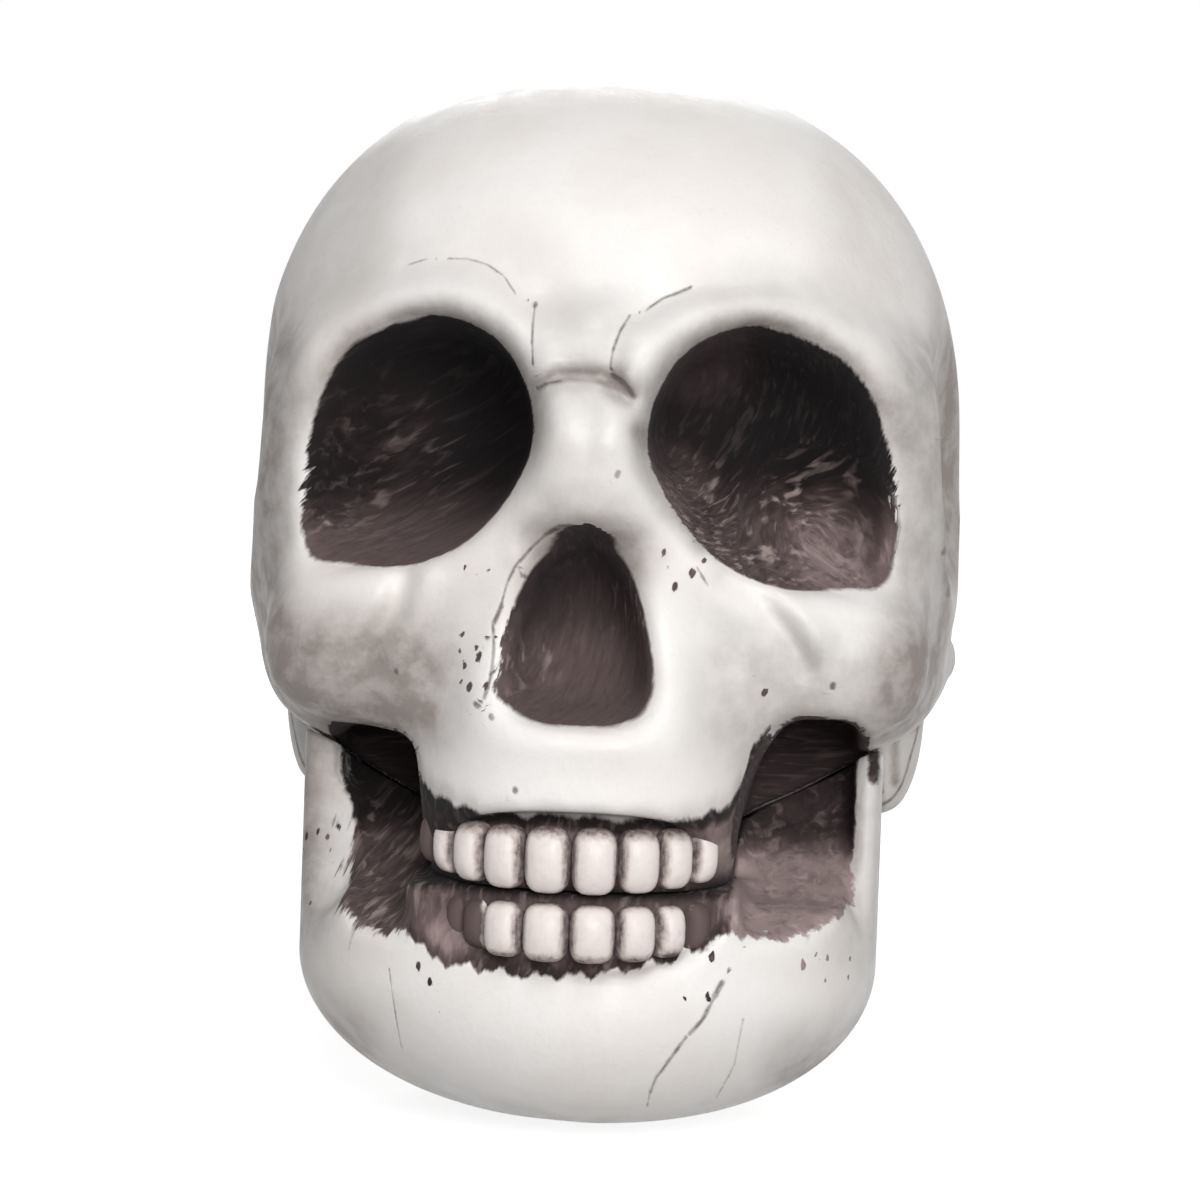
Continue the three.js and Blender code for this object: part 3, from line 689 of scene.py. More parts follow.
def face_creases(x, y, z):
    """Fine dark lines: brow ends, nasal root, nose, cheeks, specks and the fissures of the temples.
    Each is half its width and its corners. Below nothing, only the softest part of its ink shows."""
    front = drawn_lines(
        x, z,
        (-0.06, (-17.2, 80.2), (-15.4, 80.8)),
        (-0.06, (-13.4, 80.9), (-11.4, 80.9), (-9.6, 80.4), (-8, 79.4), (-6.8, 77.8)),
        (0.06, (-5, 77), (-5, 76.6)),
        (-0.07, (-5, 76.6), (-4.9, 73.8), (-4.7, 71.4)),
        (0, (8.8, 79), (7.6, 78.4), (6.2, 77.8), (5, 76.8)),
        (-0.04, (3.6, 76.2), (2.9, 74.8), (2.4, 73.2), (2.2, 71.6)),
        (0.1, (2.4, 70.8), (3.6, 70.1), (4.4, 69)),
        (-0.03, (-4.3, 69.4), (-3.4, 69.9), (-2, 70.2)),
        (0.18, (-0.7, 57.2), (-1.9, 57.1)),
        (0.08, (-1.9, 57.1), (-3, 56.5)),
        (0, (-3, 56.5), (-4.3, 55.2), (-5.7, 53.5), (-6.4, 52)),
        (0.06, (-4.9, 52.7), (-4.8, 52.6)),
        (-0.03, (-6.4, 52), (-6.8, 50.4)),
        (0.12, (-6.9, 49.8), (-7.6, 48.2)),
        (0.04, (-7.6, 48.2), (-7.4, 46.4), (-7.5, 43.6), (-8, 41.8)),
        (0.12, (-8.8, 41.2), (-8.6, 41)),
        (0.08, (-7.3, 40.3), (-7.2, 40.1)),
        (-0.02, (10.5, 54), (11.5, 52.4)),
        (-0.05, (-22.8, 37.9), (-17.6, 38.4)),
        (0.12, (22.9, 43.6), (22.9, 43.8)),
        (0.1, (-16.4, 43.4), (-16.4, 43.6)),
        (0.1, (-4.8, 33.7), (-4.8, 33.9)),
        (0.14, (3.3, 62), (3.4, 62.2)),
    )
    front[y > -16, :2] = 9
    temple = drawn_lines(
        y, z,
        (0.12, (-12.5, 63.6), (-9.8, 65.6), (-8.8, 68.6), (-6.4, 70.2)),
        (0.1, (-10.5, 54.6), (-7.6, 56.6), (-5.4, 57)),
        (0.05, (-14, 72), (-12, 69), (-12.6, 66)),
    )
    sides = (np.abs(x) > 27) & (y > -16)
    front[sides] = temple[sides]
    rim = drawn_lines(
        x, z,
        (0.25, (32.2, 66.6), (32.9, 68.6), (34.1, 70.9)),
        (0.15, (32.6, 55.6), (34.3, 58.2)),
        (0.2, (33.3, 51.6), (33.9, 53.4)),
    )
    edge_on = (x > 31.4) & (y < -6)
    front[edge_on] = rim[edge_on]
    return front


face = moulding("face_moulding", face_form, (-37, -41, 23), (37, 9.5, 102), FACE_CELL, SEAM_Y - FIT / 2)
face_points = corners_of(face)
give(
    face,
    **face_paint(face_points),
    soil=face_soil(face_points, hollowness(face_form, face_points, 3.5)),
    closed=hollowness(face_form, face_points, 1.2),
    crease=face_creases(*face_points.T),
)


def grain(tree, place, scale, detail=3.0, roughness=0.55, distortion=0.0):
    inputs = {"Vector": place, "Scale": scale, "Detail": detail, "Roughness": roughness}
    return add(tree, "ShaderNodeTexNoise", {**inputs, "Distortion": distortion}).outputs[0]


def swing(tree, noise):
    """A noise that runs to both sides of nothing."""
    return maths(tree, "SUBTRACT", noise, 0.5)


def weighted(tree, value, weight, rest):
    """A value times its weight, on top of the rest."""
    return maths(tree, "MULTIPLY_ADD", value, weight, rest)


def blended(tree, amount, colour_a, colour_b):
    """Colour a turning into colour b."""
    return add(tree, "ShaderNodeMix", {0: amount, 6: colour_a, 7: colour_b}, data_type="RGBA").outputs[2]


def moved(tree, place, shift, scale=(1.0, 1.0, 1.0)):
    return add(tree, "ShaderNodeMapping", {"Vector": place, "Location": shift, "Scale": scale}).outputs[0]


def in_millimetres(tree):
    place = add(tree, "ShaderNodeTexCoord").outputs["Object"]
    return moved(tree, place, (0, 0, 0), (1000.0, 1000.0, 1000.0))


def vector_maths(tree, operation, a, b=(0.0, 0.0, 0.0)):
    return add(tree, "ShaderNodeVectorMath", {0: a, 1: b}, operation=operation).outputs


def node_group(name, kind, inputs, outputs):
    """An empty group with named sockets. Returns its tree, its inputs and its output node."""
    tree = bpy.data.node_groups.new(name, kind)
    for way, sockets in (("INPUT", inputs), ("OUTPUT", outputs)):
        for label, socket_kind in sockets.items():
            tree.interface.new_socket(label, in_out=way, socket_type="NodeSocket" + socket_kind)
    return tree, add(tree, "NodeGroupInput").outputs, add(tree, "NodeGroupOutput").inputs


WASH_BLACK = (0.004, 0.003, 0.0035, 1.0)
WASH_PALE = (0.34, 0.262, 0.25, 1.0)
WASH_BETWEEN = (
    (0.22, (0.013, 0.008, 0.0085, 1.0)),
    (0.5, (0.062, 0.042, 0.042, 1.0)),
    (0.75, (0.15, 0.108, 0.106, 1.0)),
)
WASH_DRAGGED = (0.5, 0.4, 0.375, 1.0)


def brushed_wash():
    """Thin brown-black paint from a stiff brush: ragged edge, hair streaks, light drags and spatter."""
    floats = {label: "Float" for label in ("Edge", "Ragged", "Tone", "Accent", "Spatter")}
    results = {"Colour": "Color", "Mask": "Float", "Height": "Float"}
    tree, given, made = node_group("brushed_wash", "ShaderNodeTree", {**floats, "Flow": "Vector"}, results)
    place = in_millimetres(tree)
    strokes = grain(tree, given["Flow"], 1.0, 4.0, 0.6, 0.5)
    hairs = grain(tree, moved(tree, given["Flow"], (7.0, 3.0, 5.0), (1.4, 1.4, 1.6)), 1.0, 3.0, 0.6, 0.3)
    blots = grain(tree, place, 0.55, 4.0, 0.6)
    hair_swing = swing(tree, hairs)
    ragged = weighted(tree, maths(tree, "MULTIPLY", hair_swing, given["Ragged"]), 4.0, given["Edge"])
    ragged = weighted(tree, swing(tree, blots), weighted(tree, given["Ragged"], 1.3, 0.35), ragged)
    brushed = between(tree, ragged, -0.2, 0.2)
    flattened = moved(tree, place, (0, 0, 0), (1.0, 1.0, 0.75))
    drops = add(tree, "ShaderNodeTexVoronoi", {"Vector": flattened, "Scale": 0.95}).outputs
    chance = add(tree, "ShaderNodeSeparateColor", {0: drops["Color"]}).outputs
    size = weighted(tree, chance[1], 0.3, 0.06)
    kept = between(tree, maths(tree, "SUBTRACT", given["Spatter"], chance[0]), 0.0, 0.02)
    dot_edge = maths(tree, "SUBTRACT", maths(tree, "MULTIPLY", size, kept), drops["Distance"])
    dots = between(tree, weighted(tree, hair_swing, 0.9, dot_edge), -0.03, 0.06)
    mask = maths(tree, "MAXIMUM", brushed, maths(tree, "MULTIPLY", dots, kept))
    streaks = weighted(tree, hair_swing, 0.4, swing(tree, strokes))
    streaky = weighted(tree, streaks, weighted(tree, given["Accent"], 0.6, 0.26), given["Tone"])
    ramp = add(tree, "ShaderNodeValToRGB", {0: streaky})
    stops = ramp.color_ramp.elements
    stops[0].color = WASH_BLACK
    stops[1].color = WASH_PALE
    for position, colour in WASH_BETWEEN:
        stops.new(position).color = colour
    drag = grain(tree, moved(tree, given["Flow"], (31.0, 17.0, 9.0), (1.2, 1.2, 1.0)), 1.0, 2.0, 0.5, 0.6)
    drag = maths(tree, "MULTIPLY", between(tree, drag, 0.5, 0.78), given["Accent"])
    tree.links.new(blended(tree, drag, ramp.outputs[0], WASH_DRAGGED), made["Colour"])
    tree.links.new(mask, made["Mask"])
    tree.links.new(maths(tree, "MULTIPLY", weighted(tree, strokes, 0.12, 0.05), mask), made["Height"])
    return tree


YELLOWED = (0.83, 0.772, 0.728, 1.0)
FINE_MOTTLE = (0.7, 0.66, 0.62, 1.0)
# Brown for soil and for painted shade alike.
SOIL_AND_SHADE_BROWN = (0.27, 0.235, 0.215, 1.0)
PIT_BROWN = (0.2, 0.165, 0.15, 1.0)
CREASE_INK = (0.075, 0.06, 0.055, 1.0)


def aged_and_shaded_plastic():
    """Satin moulded plastic with a faint mottle, soil and painted shade laid on from its inputs, darker where
    it is closed in, and inked creases.
    """
    needs = {"Plastic": "Color", "Soil_and_shade": "Float", "Closed": "Float", "Crease": "Vector"}
    results = {"Colour": "Color", "Roughness": "Float", "Height": "Float"}
    tree, given, made = node_group("aged_and_shaded_plastic", "ShaderNodeTree", needs, results)
    place = in_millimetres(tree)
    broad = grain(tree, place, 0.075, 3.0, 0.5)
    cloudy = grain(tree, place, 0.33, 5.0, 0.62)
    fine = grain(tree, place, 1.7, 4.0, 0.6)
    cloud_swing = swing(tree, cloudy)
    colour = blended(tree, between(tree, broad, 0.42, 0.66, 0.0, 0.55), given["Plastic"], YELLOWED)
    colour = blended(tree, between(tree, fine, 0.5, 0.8, 0.0, 0.18), colour, FINE_MOTTLE)
    # Soil and painted shade, laid on in patches.
    patchy = maths(tree, "MULTIPLY", given["Soil_and_shade"], between(tree, cloudy, 0.28, 0.7, 0.75, 1.1))
    colour = blended(tree, patchy, colour, SOIL_AND_SHADE_BROWN)
    pit = between(tree, weighted(tree, cloud_swing, 0.5, given["Closed"]), 0.35, 1.1, 0.0, 0.7)
    colour = blended(tree, pit, colour, PIT_BROWN)
    flat = vector_maths(tree, "MULTIPLY", given["Crease"], (1.0, 1.0, 0.0))[0]
    half_width = add(tree, "ShaderNodeSeparateXYZ", {0: given["Crease"]}).outputs[2]
    crease = maths(tree, "SUBTRACT", vector_maths(tree, "LENGTH", flat)["Value"], half_width)
    crease = weighted(tree, swing(tree, fine), 0.2, weighted(tree, cloud_swing, 0.3, crease))
    broken = between(tree, grain(tree, place, 0.8, 3.0, 0.6), 0.42, 0.56, 0.7, 1.0)
    ink = maths(tree, "MULTIPLY", between(tree, crease, -0.04, 0.26, 1.0, 0.0), broken)
    colour = blended(tree, maths(tree, "MULTIPLY", ink, 0.85), colour, CREASE_INK)
    tree.links.new(colour, made["Colour"])
    tree.links.new(between(tree, cloudy, 0.3, 0.7, 0.38, 0.52), made["Roughness"])
    height = weighted(tree, fine, 0.035, maths(tree, "MULTIPLY", cloudy, 0.11))
    tree.links.new(weighted(tree, ink, -0.12, height), made["Height"])
    return tree


WASH = brushed_wash()
PLASTIC = aged_and_shaded_plastic()
SATIN_SPECULAR = 0.36
BUMP_STRENGTH = 0.8


def finished(tree, shader, colour, roughness, height):
    """Links a surface's colour, roughness and height in millimetres to its shader."""
    bump = add(tree, "ShaderNodeBump", {"Strength": BUMP_STRENGTH, "Distance": MM, "Height": height})
    tree.links.new(colour, shader.inputs["Base Color"])
    tree.links.new(roughness, shader.inputs["Roughness"])
    tree.links.new(bump.outputs[0], shader.inputs["Normal"])


def field(tree, name, output="Fac"):
    return add(tree, "ShaderNodeAttribute", attribute_name=name).outputs[output]


def painted_plastic(name, colour):
    """The finish of one moulding: aged plastic with soil and painted shade, under a brushed wash, set by the
    piece's own values.
    """
    material, tree, shader = new_material(name, SATIN_SPECULAR)
    wash = add(tree, "ShaderNodeGroup", node_tree=WASH)
    for label in ("Edge", "Ragged", "Tone", "Accent", "Spatter"):
        tree.links.new(field(tree, "wash_" + label.lower()), wash.inputs[label])
    tree.links.new(field(tree, "wash_flow", "Vector"), wash.inputs["Flow"])
    # The soil values carry painted shade as well as soil.
    worn_and_shaded = {"Plastic": colour, "Soil_and_shade": field(tree, "soil"), "Closed": field(tree, "closed")}
    worn_and_shaded["Crease"] = field(tree, "crease", "Vector")
    plastic = add(tree, "ShaderNodeGroup", worn_and_shaded, node_tree=PLASTIC)
    mask = wash.outputs["Mask"]
    painted = blended(tree, mask, plastic.outputs["Colour"], wash.outputs["Colour"])
    rough = add(tree, "ShaderNodeMix", {0: mask, 2: plastic.outputs["Roughness"], 3: 0.95}, data_type="FLOAT")
    height = maths(tree, "ADD", wash.outputs["Height"], plastic.outputs["Height"])
    finished(tree, shader, painted, rough.outputs[0], height)
    return material


face.data.materials.append(painted_plastic("face_plastic", (0.89, 0.868, 0.848, 1.0)))
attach(face, "root")
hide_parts("face_shell")

# The rear shell is the other half of the cranium, with the mastoids and the neck block below it.
# It is the same plastic, and the garland's two cord holes go through the back of its crown.
REAR_CELL = 0.62


def mastoid_form(x, y, z):
    s = half(x, y) - 27.6
    drop = block(s, y - 15.5, z - 40, 4.6, 7.4, 12.2, 2, 2.4)
    return common(drop, by_hand(x, 28.4, 27.4) - z + 0.25 * s, 1)


def neck_form(x, y, z):
    below = np.maximum(15.8 - z, 0)
    neck = block(half(x, y), y - 4, below, 23.6, 17, 16.25, 2.8, 2.2)
    return common(common(neck, z - 42, 3), -z, 0.4)


def cord_holes(x, y, z):
    return np.maximum(np.hypot(np.abs(x) - 11, y - 24) - 2, 80 - z)


def rear_form(x, y, z):
    d = join(head_form(x, y, z), mastoid_form(x, y, z), 3)
    d = join(d, neck_form(x, y, z), 2)
    d = carve(d, cord_holes(x, y, z), 0.6)
    return common(d, SEAM_Y + FIT / 2 - y, 0.4)


def mastoid_grooves(y, z):
    """Fine grooves down both mastoids."""
    return drawn_lines(
        y, z,
        (0.1, (11.5, 29), (11, 34), (12.4, 40)),
        (0.2, (14.4, 28.6), (14.8, 33), (16.6, 38.5)),
        (0.05, (18.4, 31), (18.8, 35.5)),
    )


def mastoid_slits(x, y, z):
    """Where the wash ran into the slit beside the right ramus, and a painted shadow under the end of the
    cheekbone.
    """
    slits = 0.5 - from_line(x, z, (26.9, 41), (26.8, 35), (27.6, 30.5))
    slits = np.maximum(slits, 0.75 - from_line(x, z, (31.4, 38.6), (32.8, 41), (34.4, 44)))
    return np.where(z < 45.5, np.minimum(slits, 0.4 * (13 - y)), -9)


def rear_soil(x, y, z, closed):
    """Darker low on the back and where it is closed in, with painted shadow down the slits of the mastoids
    beside the jaw.
    """
    # Darker towards the bottom, and where closed in.
    soil = 0.12 + 0.25 * (1 - ease(z, 20, 46)) + 0.35 * ease(closed, 0.2, 0.9)
    # Painted shadow down the slits beside both rami and under the end of the right cheekbone.
    for dark, low, high, *corners in (
        (0.8, 0.3, 1.3, (27, 41), (26.7, 35), (27.4, 29)),
        (0.6, 0.1, 0.7, (29.6, 39), (29.1, 35.4), (29.3, 31.5)),
        (0.9, 0.4, 1.5, (30.8, 37.8), (32.8, 41), (34.4, 44)),
        (0.4, 0.2, 1.2, (-26.4, 39.8), (-26.4, 36)),
    ):
        soil += dark * (1 - ease(from_line(x, z, *corners), low, high)) * (y < 16) * (z < 46)
    return np.clip(soil, 0, 0.95)


rear = moulding("rear_moulding", rear_form, (-37, 6.5, -1), (37, 50, 102), REAR_CELL, SEAM_Y + FIT / 2)
rear_points = corners_of(rear)
rear_x, rear_y, rear_z = rear_points.T
rear_closed = hollowness(rear_form, rear_points, 4.0)
give(
    rear,
    wash_edge=np.maximum((rear_closed - 0.95) * 5, mastoid_slits(rear_x, rear_y, rear_z)),
    wash_ragged=0.25,
    wash_tone=0.45,
    wash_flow=strokes_along(rear_x, rear_y, rear_z, 86, 5.0, 0.45).T,
    wash_accent=0.5,
    wash_spatter=0.12 * ease(rear_closed, 0.2, 0.7),
    soil=rear_soil(rear_x, rear_y, rear_z, rear_closed),
    closed=hollowness(rear_form, rear_points, 1.5),
    crease=mastoid_grooves(rear_y, rear_z),
)
rear.data.materials.append(painted_plastic("rear_plastic", (0.87, 0.842, 0.812, 1.0)))
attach(rear, "root")
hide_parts("rear_shell")

# The lower jaw is a bucket-shaped moulding: chin, rami and the webs that close the cheek hollows.
# It is cemented under the face shell, and the teeth of both jaws meet along the bite.
JAW_CELL = 0.44


def ramus_front(x, y, z):
    """What is cut away in front of the ramus, above the body of the jaw."""
    inner = by_hand(x, 21.3 + 1.3 * ease(z, 29.0, 33.0), 24.2)
    d = common(inner - half(x, y), y + 14.5 - 0.05 * (z - 22), by_hand(x, 2.4, 1.2))
    return common(d, 18.8 - z, 7)


def jaw_before_cuts(x, y, z):
    below = np.maximum(15.8 - z, 0)
    long = np.where(y > -4.4, 27.6, 28.0)
    low_side = by_hand(x, 1.96, 2.04)
    bucket = block(half(x, y), y + 4.4, below, by_hand(x, 27.5, 27.9), long, 16.25, 2.6, low_side)
    chin = block(midline(x, y), y + 21.5, z - 12, 14, 11.4, 8, 2, 2)
    return join(common(bucket, z - 46, 2), chin, 6) + SKIN_IN


def jaw_form(x, y, z):
    d = join(jaw_before_cuts(x, y, z), neck_form(x, y, z), 1)
    d = carve(d, mouth_recess(x, y, z), 1.2)
    d = carve(d, cheek_hollow(x, y, z), 1.4)
    d = carve(d, ramus_front(x, y, z), 1.4)
    above = BITE_Z - FIT / 2 - z
    mouth_room = common(half(x, y) - 16.2, common(y + 14.5, above, 1), 1)
    d = carve(d, mouth_room, 0.8)
    d = carve(d, common(head_form(x, y, z) - FIT, above, 0.4), 0.4)
    ridge = common(common(gum_ridge(x, y, z), y + 8, 2), 12 - z, 1)
    d = join(d, common(ridge, -above, 0.4), 1.0)
    d = common(d, -z, 0.4)
    return common(d, y - SEAM_Y + FIT / 2, 0.4)


def lower_gum_edge(x):
    """Depth to which the wash round the lower teeth and in the webs was brushed."""
    corners = (
        (-24.5, 17.6), (-21, 17.8), (-19.6, 19.6), (-17.7, 20.5), (-15.5, 20.3), (-13.6, 19.4),
        (-12.4, 17.8), (-9.5, 17.4), (-3.9, 16.9), (-0.3, 17), (4.2, 17.4), (7.7, 18.3), (9.6, 18.6),
        (11, 20), (15.2, 21.2), (18.6, 21.1), (20.4, 21.1), (22.9, 21.6), (25.3, 23.5),
    )
    return np.interp(x, *zip(*corners)) + 0.3 * np.sin(1.9 * x) + 0.2 * np.sin(4.3 * x + 1)


def jaw_paint(points):
    """The wash round the lower teeth and in the webs, with the smears that it left on the left ramus."""
    x, y, z = points.T
    out = np.abs(x)
    sunk = -jaw_before_cuts(x, y, z)
    above_edge = z - lower_gum_edge(x)
    web = np.where(y > -22, np.maximum(sunk - 0.4, 0.7 - cheek_hollow(x, y, z)), sunk - 0.4)
    web = np.minimum(web, by_hand(x, 21.7 + 1.4 * ease(z, 29.0, 33.0), 25.4) - out)
    web = np.maximum(web, 0.4 - 0.8 * from_line(x, z, (26.9, 37), (27, 34)))
    web = np.where((z > 14) & (out > 11), np.minimum(web, above_edge + 0.8), -9)
    smears = spots(x, z, (1.0, -22.6, 28.4, 3.4), (1.0, -22.8, 23.9, 2.4), (0.7, -22.6, 18.6, 1.4))
    web = np.maximum(web, 0.95 * smears - 1.2)
    gum = np.where((out < 17) & (y < -14), above_edge, -9)
    in_web = out > 14.5
    # The webs are darker high up and lighter on the right: partly the paint, partly painted light and shade.
    high = ease(z + by_hand(x, 0, 0.5), 26, 29.5)
    web_tone = by_hand(x, 0.6, 0.98) - by_hand(x, 0.4, 0.62) * high
    gum_tone = 0.62 - 0.25 * (1 - ease(gum, 0.3, 1.6)) - 0.4 * ease(z, 23.6, 24.4)
    pale = spots(x, z, (0.3, 15.0, 24, 2.4), (0.25, -11, 19.5, 3.5))
    web_flow = np.where(x < 0, strokes_along(x, y, z + 0.03 * x * x, 60, 6, 1.2), points.T / 1.7 + 5.0)
    gum_flow = strokes_along(x, y, z, 88, 2.5, 0.8) + 23.0
    dots = spots(x, z, (0.4, -23.6, 25, 6), (0.5, 13, 17.5, 4), (0.3, -12, 14.8, 4), (0.3, 24, 18, 4))
    return {
        "wash_edge": np.maximum(web, gum),
        "wash_tone": np.where(in_web, web_tone, gum_tone) + pale,
        "wash_ragged": np.where(in_web, by_hand(x, 0.55, 0.4) * (1 - 0.6 * high), 0.15),
        "wash_flow": np.where(in_web, web_flow, gum_flow).T,
        "wash_accent": np.where(in_web, by_hand(x, 0.6, 0.75) * (1 - 0.7 * high), 0.3),
        "wash_spatter": dots,
    }


def jaw_soil(points, closed):
    """Darker where the jaw is closed in, and painted shade along its lower sides and down both rami."""
    x, y, z = points.T
    soil = 0.05 + 0.4 * ease(closed, 0.25, 1)
    # Painted shade along the jaw's lower sides, stronger on the left.
    soil += by_hand(x, 0.88, 0.75) * ease(np.abs(x), 16.0, 21) * (1 - ease(z, 6, 15))
    # Painted shade down the rami, far stronger on the left.
    soil += by_hand(x, 0.8, 0.24) * ease(np.abs(x), 21.5, 26.0) * ease(z, 14, 20)
    return np.clip(soil, 0, 1)


def jaw_creases(x, y, z):
    """The crack and the faint side creases of the chin."""
    front = drawn_lines(
        x, z,
        (0.16, (14, 16.7), (13.4, 15.4)),
        (0.06, (13.4, 15.4), (12.4, 13.4), (11.4, 12.2)),
        (0.02, (11, 11.8), (9.8, 10), (8.4, 7.9), (7.8, 6.2)),
        (-0.06, (7.8, 6.2), (7.5, 4.6)),
        (-0.1, (-16.3, 16.6), (-15.7, 12.9), (-15.1, 8.8)),
        (-0.1, (16, 13.4), (15.3, 8.8), (13.6, 5)),
    )
    front[y > -12, :2] = 9
    return front


jaw = moulding("jaw_moulding", jaw_form, (-30, -38, -1), (31, 9.5, 44), JAW_CELL, SEAM_Y - FIT / 2)
jaw_points = corners_of(jaw)
give(
    jaw,
    **jaw_paint(jaw_points),
    soil=jaw_soil(jaw_points, hollowness(jaw_form, jaw_points, 3.5)),
    closed=hollowness(jaw_form, jaw_points, 1.2),
    crease=jaw_creases(*jaw_points.T),
)
jaw.data.materials.append(painted_plastic("jaw_plastic", (0.885, 0.864, 0.845, 1.0)))
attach(jaw, "root")
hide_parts("lower_jaw")

# The teeth are moulded in one with the two jaws. Each row is one rounded crown, repeated along the
# dental arch from the midline outwards and scaled to each tooth's width.
UPPER_ROW = {
    "wide": 13.7, "deep": 13.9, "middle_z": 27.6, "half_height": 3.0,
    "widths": (4.15, 3.85, 3.3, 2.7, 2.6), "seen": {-1: 5, 1: 4}, "sunk": 0.0,
}
LOWER_ROW = {
    "wide": 13.3, "deep": 13.5, "middle_z": 21.05, "half_height": 2.65,
    "widths": (4.15, 3.65, 3.0, 2.7, 2.5), "seen": {-1: 4, 1: 4}, "sunk": 1.0,
}
ARCH_Y = -20.6
ROW_SHIFT = -0.3
CROWN_HALF_DEPTH = 2.0
CORNER_POWER = 3.4
PILLOW_POWER = 2.3


def crown_places(row):
    """Middle, turn and half sizes of each crown, set side by side along an elliptic arch."""
    places = []
    turn = 0.0
    for number, width in enumerate(row["widths"]):
        def arc(angle, width=width):
            return width / math.hypot(row["wide"] * math.cos(angle), row["deep"] * math.sin(angle))
        middle = turn + arc(turn + arc(turn) / 2) / 2
        turn += arc(middle)
        facing = math.atan2(row["deep"] * math.sin(middle), row["wide"] * math.cos(middle))
        y = ARCH_Y - row["deep"] * math.cos(middle)
        z = row["middle_z"] + 0.05 * number * number
        size = (width * 0.497, CROWN_HALF_DEPTH, row["half_height"] * (1 - 0.045 * number))
        for hand in (-1, 1):
            if number >= row["seen"][hand]:
                continue
            sunk = row["sunk"] * (hand < 0 and number > 1) - 0.3 * (hand > 0 and number > 2)
            x = hand * row["wide"] * math.sin(middle) - LEAN * (y - LEAN_Y) + ROW_SHIFT
            place = (x - hand * sunk * math.sin(middle), y + sunk * math.cos(middle), z)
            places.append((place, hand * facing, size))
    return places


def crown_tree():
    """Geometry Nodes: one pillow-shaped crown, placed on every point with its own turn and size."""
    needs = {"Places": "Geometry", "Corner power": "Float", "Pillow power": "Float", "Material": "Material"}
    tree, given, made = node_group("tooth_row", "GeometryNodeTree", needs, {"Teeth": "Geometry"})

    def power(base, exponent):
        return maths(tree, "POWER", base, exponent)

    def stored(name):
        read = add(tree, "GeometryNodeInputNamedAttribute", {"Name": name}, data_type="FLOAT_VECTOR")
        return read.outputs["Attribute"]

    ball = add(tree, "GeometryNodeMeshUVSphere", {"Segments": 28, "Rings": 18, "Radius": 1.0}).outputs["Mesh"]
    place = add(tree, "GeometryNodeInputPosition").outputs[0]
    size = vector_maths(tree, "ABSOLUTE", place)[0]
    wide, deep, high = add(tree, "ShaderNodeSeparateXYZ", {0: size}).outputs
    corner, pillow = given["Corner power"], given["Pillow power"]
    outline = maths(tree, "ADD", power(wide, corner), power(high, corner))
    outline = power(outline, maths(tree, "DIVIDE", pillow, corner))
    stretch = power(maths(tree, "ADD", outline, power(deep, pillow)), maths(tree, "DIVIDE", -1.0, pillow))
    scaled = add(tree, "ShaderNodeVectorMath", {0: place, "Scale": stretch}, operation="SCALE").outputs[0]
    crown = add(tree, "GeometryNodeSetPosition", {"Geometry": ball, "Position": scaled}).outputs[0]
    local = {"Geometry": crown, "Name": "on_crown", "Value": scaled}
    crown = add(tree, "GeometryNodeStoreNamedAttribute", local, data_type="FLOAT_VECTOR").outputs[0]
    rotation = add(tree, "FunctionNodeEulerToRotation", {0: stored("crown_turn")}).outputs[0]
    sizes = stored("crown_size")
    crowns = {"Points": given["Places"], "Instance": crown, "Rotation": rotation, "Scale": sizes}
    spread = add(tree, "GeometryNodeInstanceOnPoints", crowns).outputs[0]
    real = add(tree, "GeometryNodeRealizeInstances", {0: spread}).outputs[0]
    painted = add(tree, "GeometryNodeSetMaterial", {"Geometry": real, "Material": given["Material"]})
    tree.links.new(painted.outputs[0], made["Teeth"])
    return tree


def tooth_row(name, row, tree, material):
    """One row of crowns, grown by the tree on its places and baked to a plain mesh."""
    middles, turns, sizes = zip(*crown_places(row))
    data = bpy.data.meshes.new(name)
    data.from_pydata([Vector(middle) * MM for middle in middles], [], [])
    seeds = placed(name + "_places", data)
    give(seeds, crown_turn=[(0, 0, turn) for turn in turns], crown_size=np.array(sizes) * MM)
    grown = seeds.modifiers.new("crowns", "NODES")
    grown.node_group = tree
    socket = {item.name: item.identifier for item in tree.interface.items_tree}
    grown[socket["Corner power"]] = CORNER_POWER
    grown[socket["Pillow power"]] = PILLOW_POWER
    grown[socket["Material"]] = material
    baked = bpy.data.meshes.new_from_object(seeds.evaluated_get(bpy.context.evaluated_depsgraph_get()))
    baked.shade_smooth()
    bpy.data.objects.remove(seeds)
    return placed(name, baked)


TOOTH_PINK = (0.83, 0.755, 0.72, 1.0)
TOOTH_MOTTLE = (0.74, 0.66, 0.62, 1.0)
TOOTH_HAZE = (0.42, 0.335, 0.31, 1.0)
TOOTH_WASH = (0.105, 0.074, 0.07, 1.0)


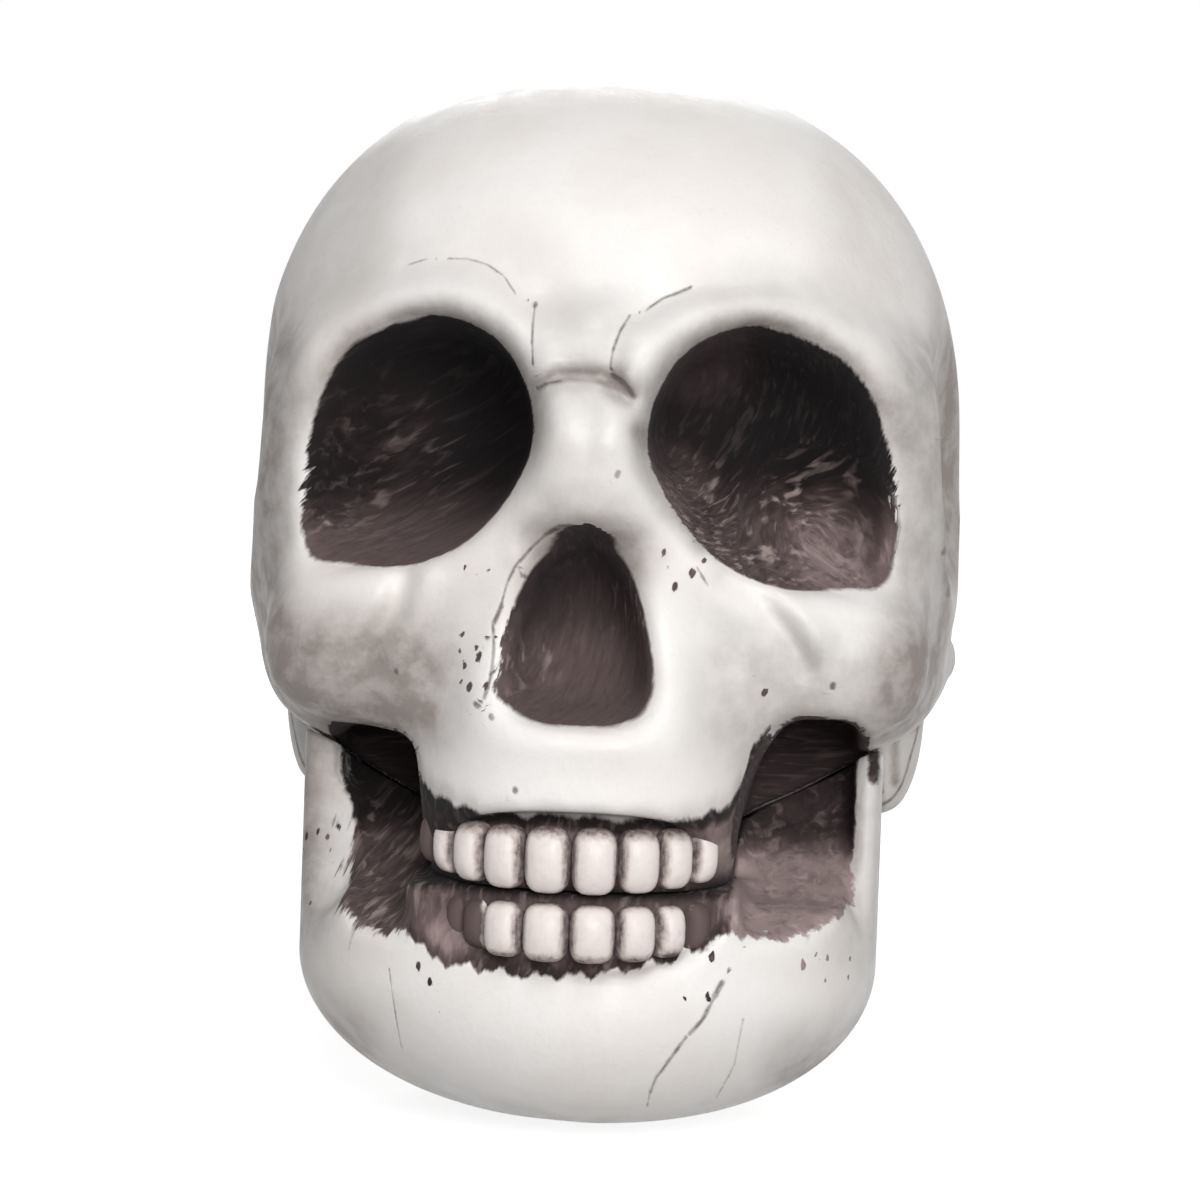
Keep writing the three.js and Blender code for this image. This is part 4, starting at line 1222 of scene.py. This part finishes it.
def tooth_finish():
    """Pinkish-white crowns. The wash stays at their sides and roots, and covers the outermost ones."""
    material, tree, shader = new_material("tooth_plastic", SATIN_SPECULAR)
    place = in_millimetres(tree)
    fine = grain(tree, place, 1.5, 4.0, 0.6)
    upright = grain(tree, moved(tree, place, (0, 0, 0), (2.6, 2.6, 0.5)), 1.0, 4.0, 0.6)
    both = weighted(tree, fine, 0.5, maths(tree, "MULTIPLY", upright, 0.5))
    haze = weighted(tree, swing(tree, both), 1.1, field(tree, "stain"))
    colour = blended(tree, between(tree, fine, 0.4, 0.75, 0.0, 0.5), TOOTH_PINK, TOOTH_MOTTLE)
    colour = blended(tree, between(tree, haze, 0.3, 0.75, 0.0, 0.55), colour, TOOTH_HAZE)
    colour = blended(tree, between(tree, haze, 0.62, 1.15), colour, TOOTH_WASH)
    height = weighted(tree, upright, 0.05, maths(tree, "MULTIPLY", fine, 0.03))
    finished(tree, shader, colour, between(tree, haze, 0.3, 0.9, 0.4, 0.7), height)
    return material


def stain_teeth(teeth, root_side, *covered):
    """How strongly each point is stained: towards a crown's sides, its root and the ends of the row."""
    local = np.empty(len(teeth.data.vertices) * 3)
    teeth.data.attributes["on_crown"].data.foreach_get("vector", local)
    across, inward, up = local.reshape(-1, 3).T
    x = corners_of(teeth)[:, 0]
    sides = ease(np.abs(across), 0.5, 0.98)
    root = 0.95 * ease(root_side * up, 0.4, 0.95)
    tip = 0.6 * ease(-root_side * up, 0.72, 1.0)
    behind = ease(inward, -0.75, -0.1)
    cover = sum(amount * ease(np.sign(start) * (x - start), 0, 0.7) for start, amount in covered)
    give(teeth, stain=np.clip(np.maximum.reduce([sides, root, tip, behind]) + cover, 0, 1.4))


tooth_plastic = tooth_finish()
crowns = crown_tree()
upper_teeth = tooth_row("upper_teeth", UPPER_ROW, crowns, tooth_plastic)
stain_teeth(upper_teeth, 1, (-10.6, 0.3), (-12.4, 1.1))
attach(upper_teeth, "root")
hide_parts("face_shell")
lower_teeth = tooth_row("lower_teeth", LOWER_ROW, crowns, tooth_plastic)
stain_teeth(lower_teeth, -1, (-7.5, 1.4), (8.5, 0.3), (11, 1.4))
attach(lower_teeth, "root")
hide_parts("lower_jaw")
